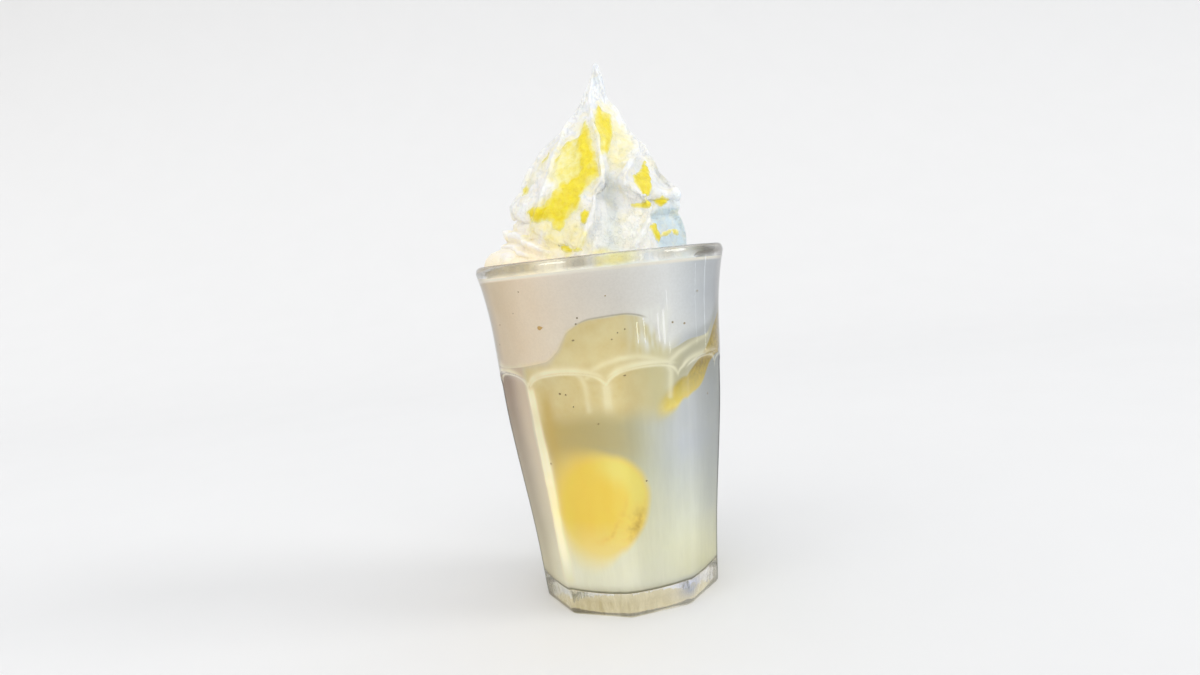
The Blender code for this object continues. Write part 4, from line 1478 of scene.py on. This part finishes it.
# Specks of zest and seed at the wall: angle, height and half size, and from 0 for dark to 1 for orange
SPECKS = (
    (-33, 99.7, 0.75, 1), (-13, 101.9, 0.3, 0), (-14, 100, 0.28, 0), (8.6, 96.8, 0.3, 0.2),
    (33.5, 97, 0.33, 0.1), (41, 96, 0.36, 0.1), (-40.7, 111.9, 0.28, 0.3), (6.3, 82.2, 0.3, 0.2),
    (-29, 77.5, 0.34, 0.3), (-25.5, 77.1, 0.34, 0.3), (1, 108, 0.26, 0.3), (-16.5, 94.8, 0.28, 0.2),
    (5, 95.9, 0.24, 0.1), (2, 94, 0.24, 0.3), (14, 46, 0.28, 0), (50, 106, 0.34, 0.1), (-9, 67, 0.26, 0.2),
    (-22, 73, 0.24, 0.1), (-48, 105, 0.22, 0.2), (-44, 53.5, 0.3, 0.3),
)
# How many more lie behind, and between which angles, heights, half sizes and colours
SPECKS_BEHIND = 26
SPECK_RANGES = ((62, 298), (60, 112), (0.2, 0.4), (0, 0.4))
SPECK_SEED = 7
SPECK_SIDES = 8
# Rings of a speck from inside out: share of its size, and share of its depth
SPECK_RINGS = ((0.75, -0.5), (1, 0), (0.65, 0.7))
SPECK_DEPTH = 0.2


def make_specks():
    """Small uneven grains, each half sunk in what it shows through."""
    draw = np.random.default_rng(SPECK_SEED)
    grains = list(SPECKS)
    for _ in range(SPECKS_BEHIND):
        grains.append([draw.uniform(low, high) for low, high in SPECK_RANGES])
    verts = []
    faces = []
    warmth = []
    steps = list(range(SPECK_SIDES))
    for angle, height, size, warm in grains:
        middle = at_angle(angle, float(inner_radius(height)) + CREAM_REACH, height)
        outward = at_angle(angle, 1, 0)
        level = at_angle(angle + 90, 1, 0)
        base = len(verts)
        stretch = draw.uniform(0.8, 1.5)
        for row, lift in SPECK_RINGS:
            for step in steps:
                turn = 2 * math.pi * step / SPECK_SIDES
                rough = draw.uniform(0.8, 1.2) * row * size
                flat = level * math.cos(turn) * rough * stretch + np.array((0, 0, math.sin(turn) * rough))
                verts.append((middle + flat + outward * lift * SPECK_DEPTH) * MM)
        for low in (base, base + SPECK_SIDES):
            high = low + SPECK_SIDES
            for here, there in zip(steps, steps[1:] + steps[:1]):
                faces.append((low + here, low + there, high + there, high + here))
        faces.append([base + step for step in steps[::-1]])
        faces.append([base + 2 * SPECK_SIDES + step for step in steps])
        warmth += [warm] * (len(SPECK_RINGS) * SPECK_SIDES)
    mesh = bpy.data.meshes.new("specks")
    mesh.from_pydata([tuple(v) for v in verts], [], faces)
    mesh.shade_smooth()
    paint(mesh, warmth=warmth)
    finish = Finish("specks")
    grain = finish.noise(0.4, 2, 0.6)
    warm = finish.mix(grain, (206, 160, 80), (230, 190, 110))
    dark = finish.mix(grain, (126, 108, 74), (172, 152, 108))
    material = finish.made_of(base_color=finish.mix("warmth", dark, warm), roughness=0.6)
    add_piece(mesh, material, "lemon")


# Floor, light and camera

CAMERA_DISTANCE = 293.94
CAMERA_HEIGHT = 117.05
CAMERA_YAW = -0.00888
CAMERA_PITCH = 0.08627
CAMERA_ROLL = 0.10615
FOCAL_PIXELS = 816.9
PHOTO_WIDTH = 1200
SENSOR_WIDTH = 36
CLIP_START = 10


def make_camera():
    ahead = Vector((
        math.sin(CAMERA_YAW) * math.cos(CAMERA_PITCH),
        math.cos(CAMERA_YAW) * math.cos(CAMERA_PITCH),
        -math.sin(CAMERA_PITCH),
    ))
    level = ahead.cross(Vector((0, 0, 1))).normalized()
    upright = level.cross(ahead)
    cosine = math.cos(CAMERA_ROLL)
    sine = math.sin(CAMERA_ROLL)
    right = cosine * level - sine * upright
    up = sine * level + cosine * upright
    matrix = Matrix((right, up, -ahead)).transposed().to_4x4()
    matrix.translation = Vector((0, -CAMERA_DISTANCE, CAMERA_HEIGHT)) * MM
    data = bpy.data.cameras.new("camera")
    data.lens = FOCAL_PIXELS / PHOTO_WIDTH * SENSOR_WIDTH
    data.sensor_width = SENSOR_WIDTH
    data.clip_start = CLIP_START * MM
    camera = link("camera", data)
    camera.matrix_world = matrix
    bpy.context.scene.camera = camera


FLOOR_HALF_WIDTH = 1450
SWEEP_START = 600
SWEEP_RADIUS = 900
SWEEP_TOP = 3200
FLOOR_FRONT = -2500
# Distance along the floor and up the sweep, and how much light its surface sends back there
FLOOR_TONE = ((-2500, 0.834), (0, 0.834), (600, 0.805), (1300, 0.780), (2000, 0.790), (4400, 0.80))
# Light that a real glass draws together on what it stands on: how far it is full, where it
# ends, and how strong it is
SPOT_FULL = 22
SPOT_END = 32
SPOT_STRENGTH = 0.12


def make_floor():
    """A pale floor that sweeps up behind the object."""
    profile = [(y, 0) for y in np.linspace(FLOOR_FRONT, SWEEP_START, 32)]
    for turn in np.radians(np.linspace(0, 90, 25))[1:]:
        reach = SWEEP_START + SWEEP_RADIUS * math.sin(turn)
        profile.append((reach, SWEEP_RADIUS * (1 - math.cos(turn))))
    back = SWEEP_START + SWEEP_RADIUS
    profile += [(back, height) for height in np.linspace(SWEEP_RADIUS, SWEEP_TOP, 12)[1:]]
    profile = np.array(profile)
    verts = [(x * MM, y * MM, z * MM) for y, z in profile for x in (-FLOOR_HALF_WIDTH, FLOOR_HALF_WIDTH)]
    faces = [(2 * i, 2 * i + 1, 2 * i + 3, 2 * i + 2) for i in range(len(profile) - 1)]
    mesh = bpy.data.meshes.new("floor")
    mesh.from_pydata(verts, [], faces)
    mesh.shade_smooth()
    steps = np.hypot(*np.diff(profile, axis=0).T)
    distance = FLOOR_FRONT + np.concatenate(([0], np.cumsum(steps)))
    paint(mesh, tone=np.repeat(smooth_curve(FLOOR_TONE, distance), 2))
    finish = Finish("floor")
    grain = finish.spread(finish.noise(60, 2, 0.5), 0.3, 0.7, 1.004, 0.996)
    level = finish.times("tone", grain)
    from_middle = finish.add("VectorMath", {0: finish.place()}, operation="LENGTH").outputs["Value"]
    material = finish.made_of(
        base_color=finish.add("CombineColor", {0: level, 1: level, 2: level}).outputs[0],
        roughness=0.9,
        specular_ior_level=0,
        emission_color=colour(255, 240, 205),
        emission_strength=finish.spread(from_middle, SPOT_END * MM, SPOT_FULL * MM, SPOT_STRENGTH),
    )
    mesh.materials.append(material)
    link("floor", mesh)


ZENITH_LIGHT = (0.92, 0.93, 0.95, 1)
LEFT_LIGHT = (0.58, 0.53, 0.47, 1)
RIGHT_LIGHT = (0.42, 0.47, 0.55, 1)


def make_world():
    """Bright overhead, dim and warm low on the left, and cooler low on the right."""
    finish = Finish("studio", "worlds")
    place = finish.add("TexCoord").outputs["Generated"]
    axes = finish.add("SeparateXYZ", {"Vector": place}).outputs
    tone = finish.over(
        LEFT_LIGHT,
        (finish.spread(axes["X"], -0.8, 0.8), RIGHT_LIGHT),
        (finish.spread(axes["Z"], 0, 0.8), ZENITH_LIGHT),
    )
    background = finish.add("Background", {"Color": tone}).outputs[0]
    finish.add("OutputWorld", {"Surface": background})
    bpy.context.scene.world = finish.block


def direction(azimuth, elevation):
    """A direction from its angle round from the front and its angle up."""
    turn = math.radians(azimuth)
    rise = math.radians(elevation)
    return Vector((math.sin(turn) * math.cos(rise), -math.cos(turn) * math.cos(rise), math.sin(rise)))


# Suns: azimuth, elevation, strength, spread and tint
SUNS = (
    (78, 26, 0.78, 22, (1, 1, 1)),
    (-12, 28, 0.95, 100, (1, 0.99, 0.96)),
)

# Strips of light that are only seen mirrored: a point on the glass, the azimuth, elevation
# and distance that it mirrors, the strip's width and height, its brightness and its tint
WHITE = (1, 1, 1)
COOL = (0.90, 0.95, 1)
WARM = (1, 0.96, 0.84)
MIRRORED = (
    ((9.4, -39.3, 93.5), 30, -11.6, 250, 6, 6, 8, WHITE),
    ((11.8, -38.6, 92.5), 37, -11.5, 250, 4, 4.5, 7, WHITE),
    ((16.2, -37.2, 96), 52, -11.8, 250, 7, 6, 5, WHITE),
    ((18.4, -36.1, 96), 58, -11.8, 250, 9, 7, 4, WHITE),
    ((20, -35.4, 95), 63, -13, 250, 4, 8, 4, WHITE),
    ((29.4, -27.8, 96), 100, -10, 250, 4, 16, 1.8, COOL),
    ((32.8, -24, 97), 115.5, -9.5, 250, 5, 26, 2.4, COOL),
    ((-13, -42, 119.8), -45, 28, 400, 170, 110, 7, COOL),
    ((-25.8, -27, 52), -100, -16, 60, 5, 26, 1.2, WARM),
)


def add_light(name, kind, strength, tint, aim):
    """A light that shines from a direction, towards its opposite."""
    data = bpy.data.lights.new(name, kind)
    data.energy = strength
    data.color = tint
    light = link(name, data)
    light.rotation_euler = aim.to_track_quat("Z", "Y").to_euler()
    return light


def make_lights():
    for azimuth, elevation, strength, spread, tint in SUNS:
        sun = add_light("sun", "SUN", strength, tint, direction(azimuth, elevation))
        sun.data.angle = math.radians(spread)
    for spot, azimuth, elevation, distance, width, height, brightness, tint in MIRRORED:
        energy = brightness * math.pi * width * height * MM * MM
        strip = add_light("strip", "AREA", energy, tint, direction(azimuth, 0))
        strip.data.shape = "RECTANGLE"
        strip.data.size = width * MM
        strip.data.size_y = height * MM
        strip.location = (Vector(spot) + direction(azimuth, elevation) * distance) * MM
        strip.visible_camera = False
        strip.visible_diffuse = False
        strip.visible_transmission = False


make_world()
make_lights()
make_camera()
make_floor()
make_glass()
make_milk()
make_slice()
make_cream()
make_specks()
bpy.context.scene.view_settings.view_transform = "Standard"
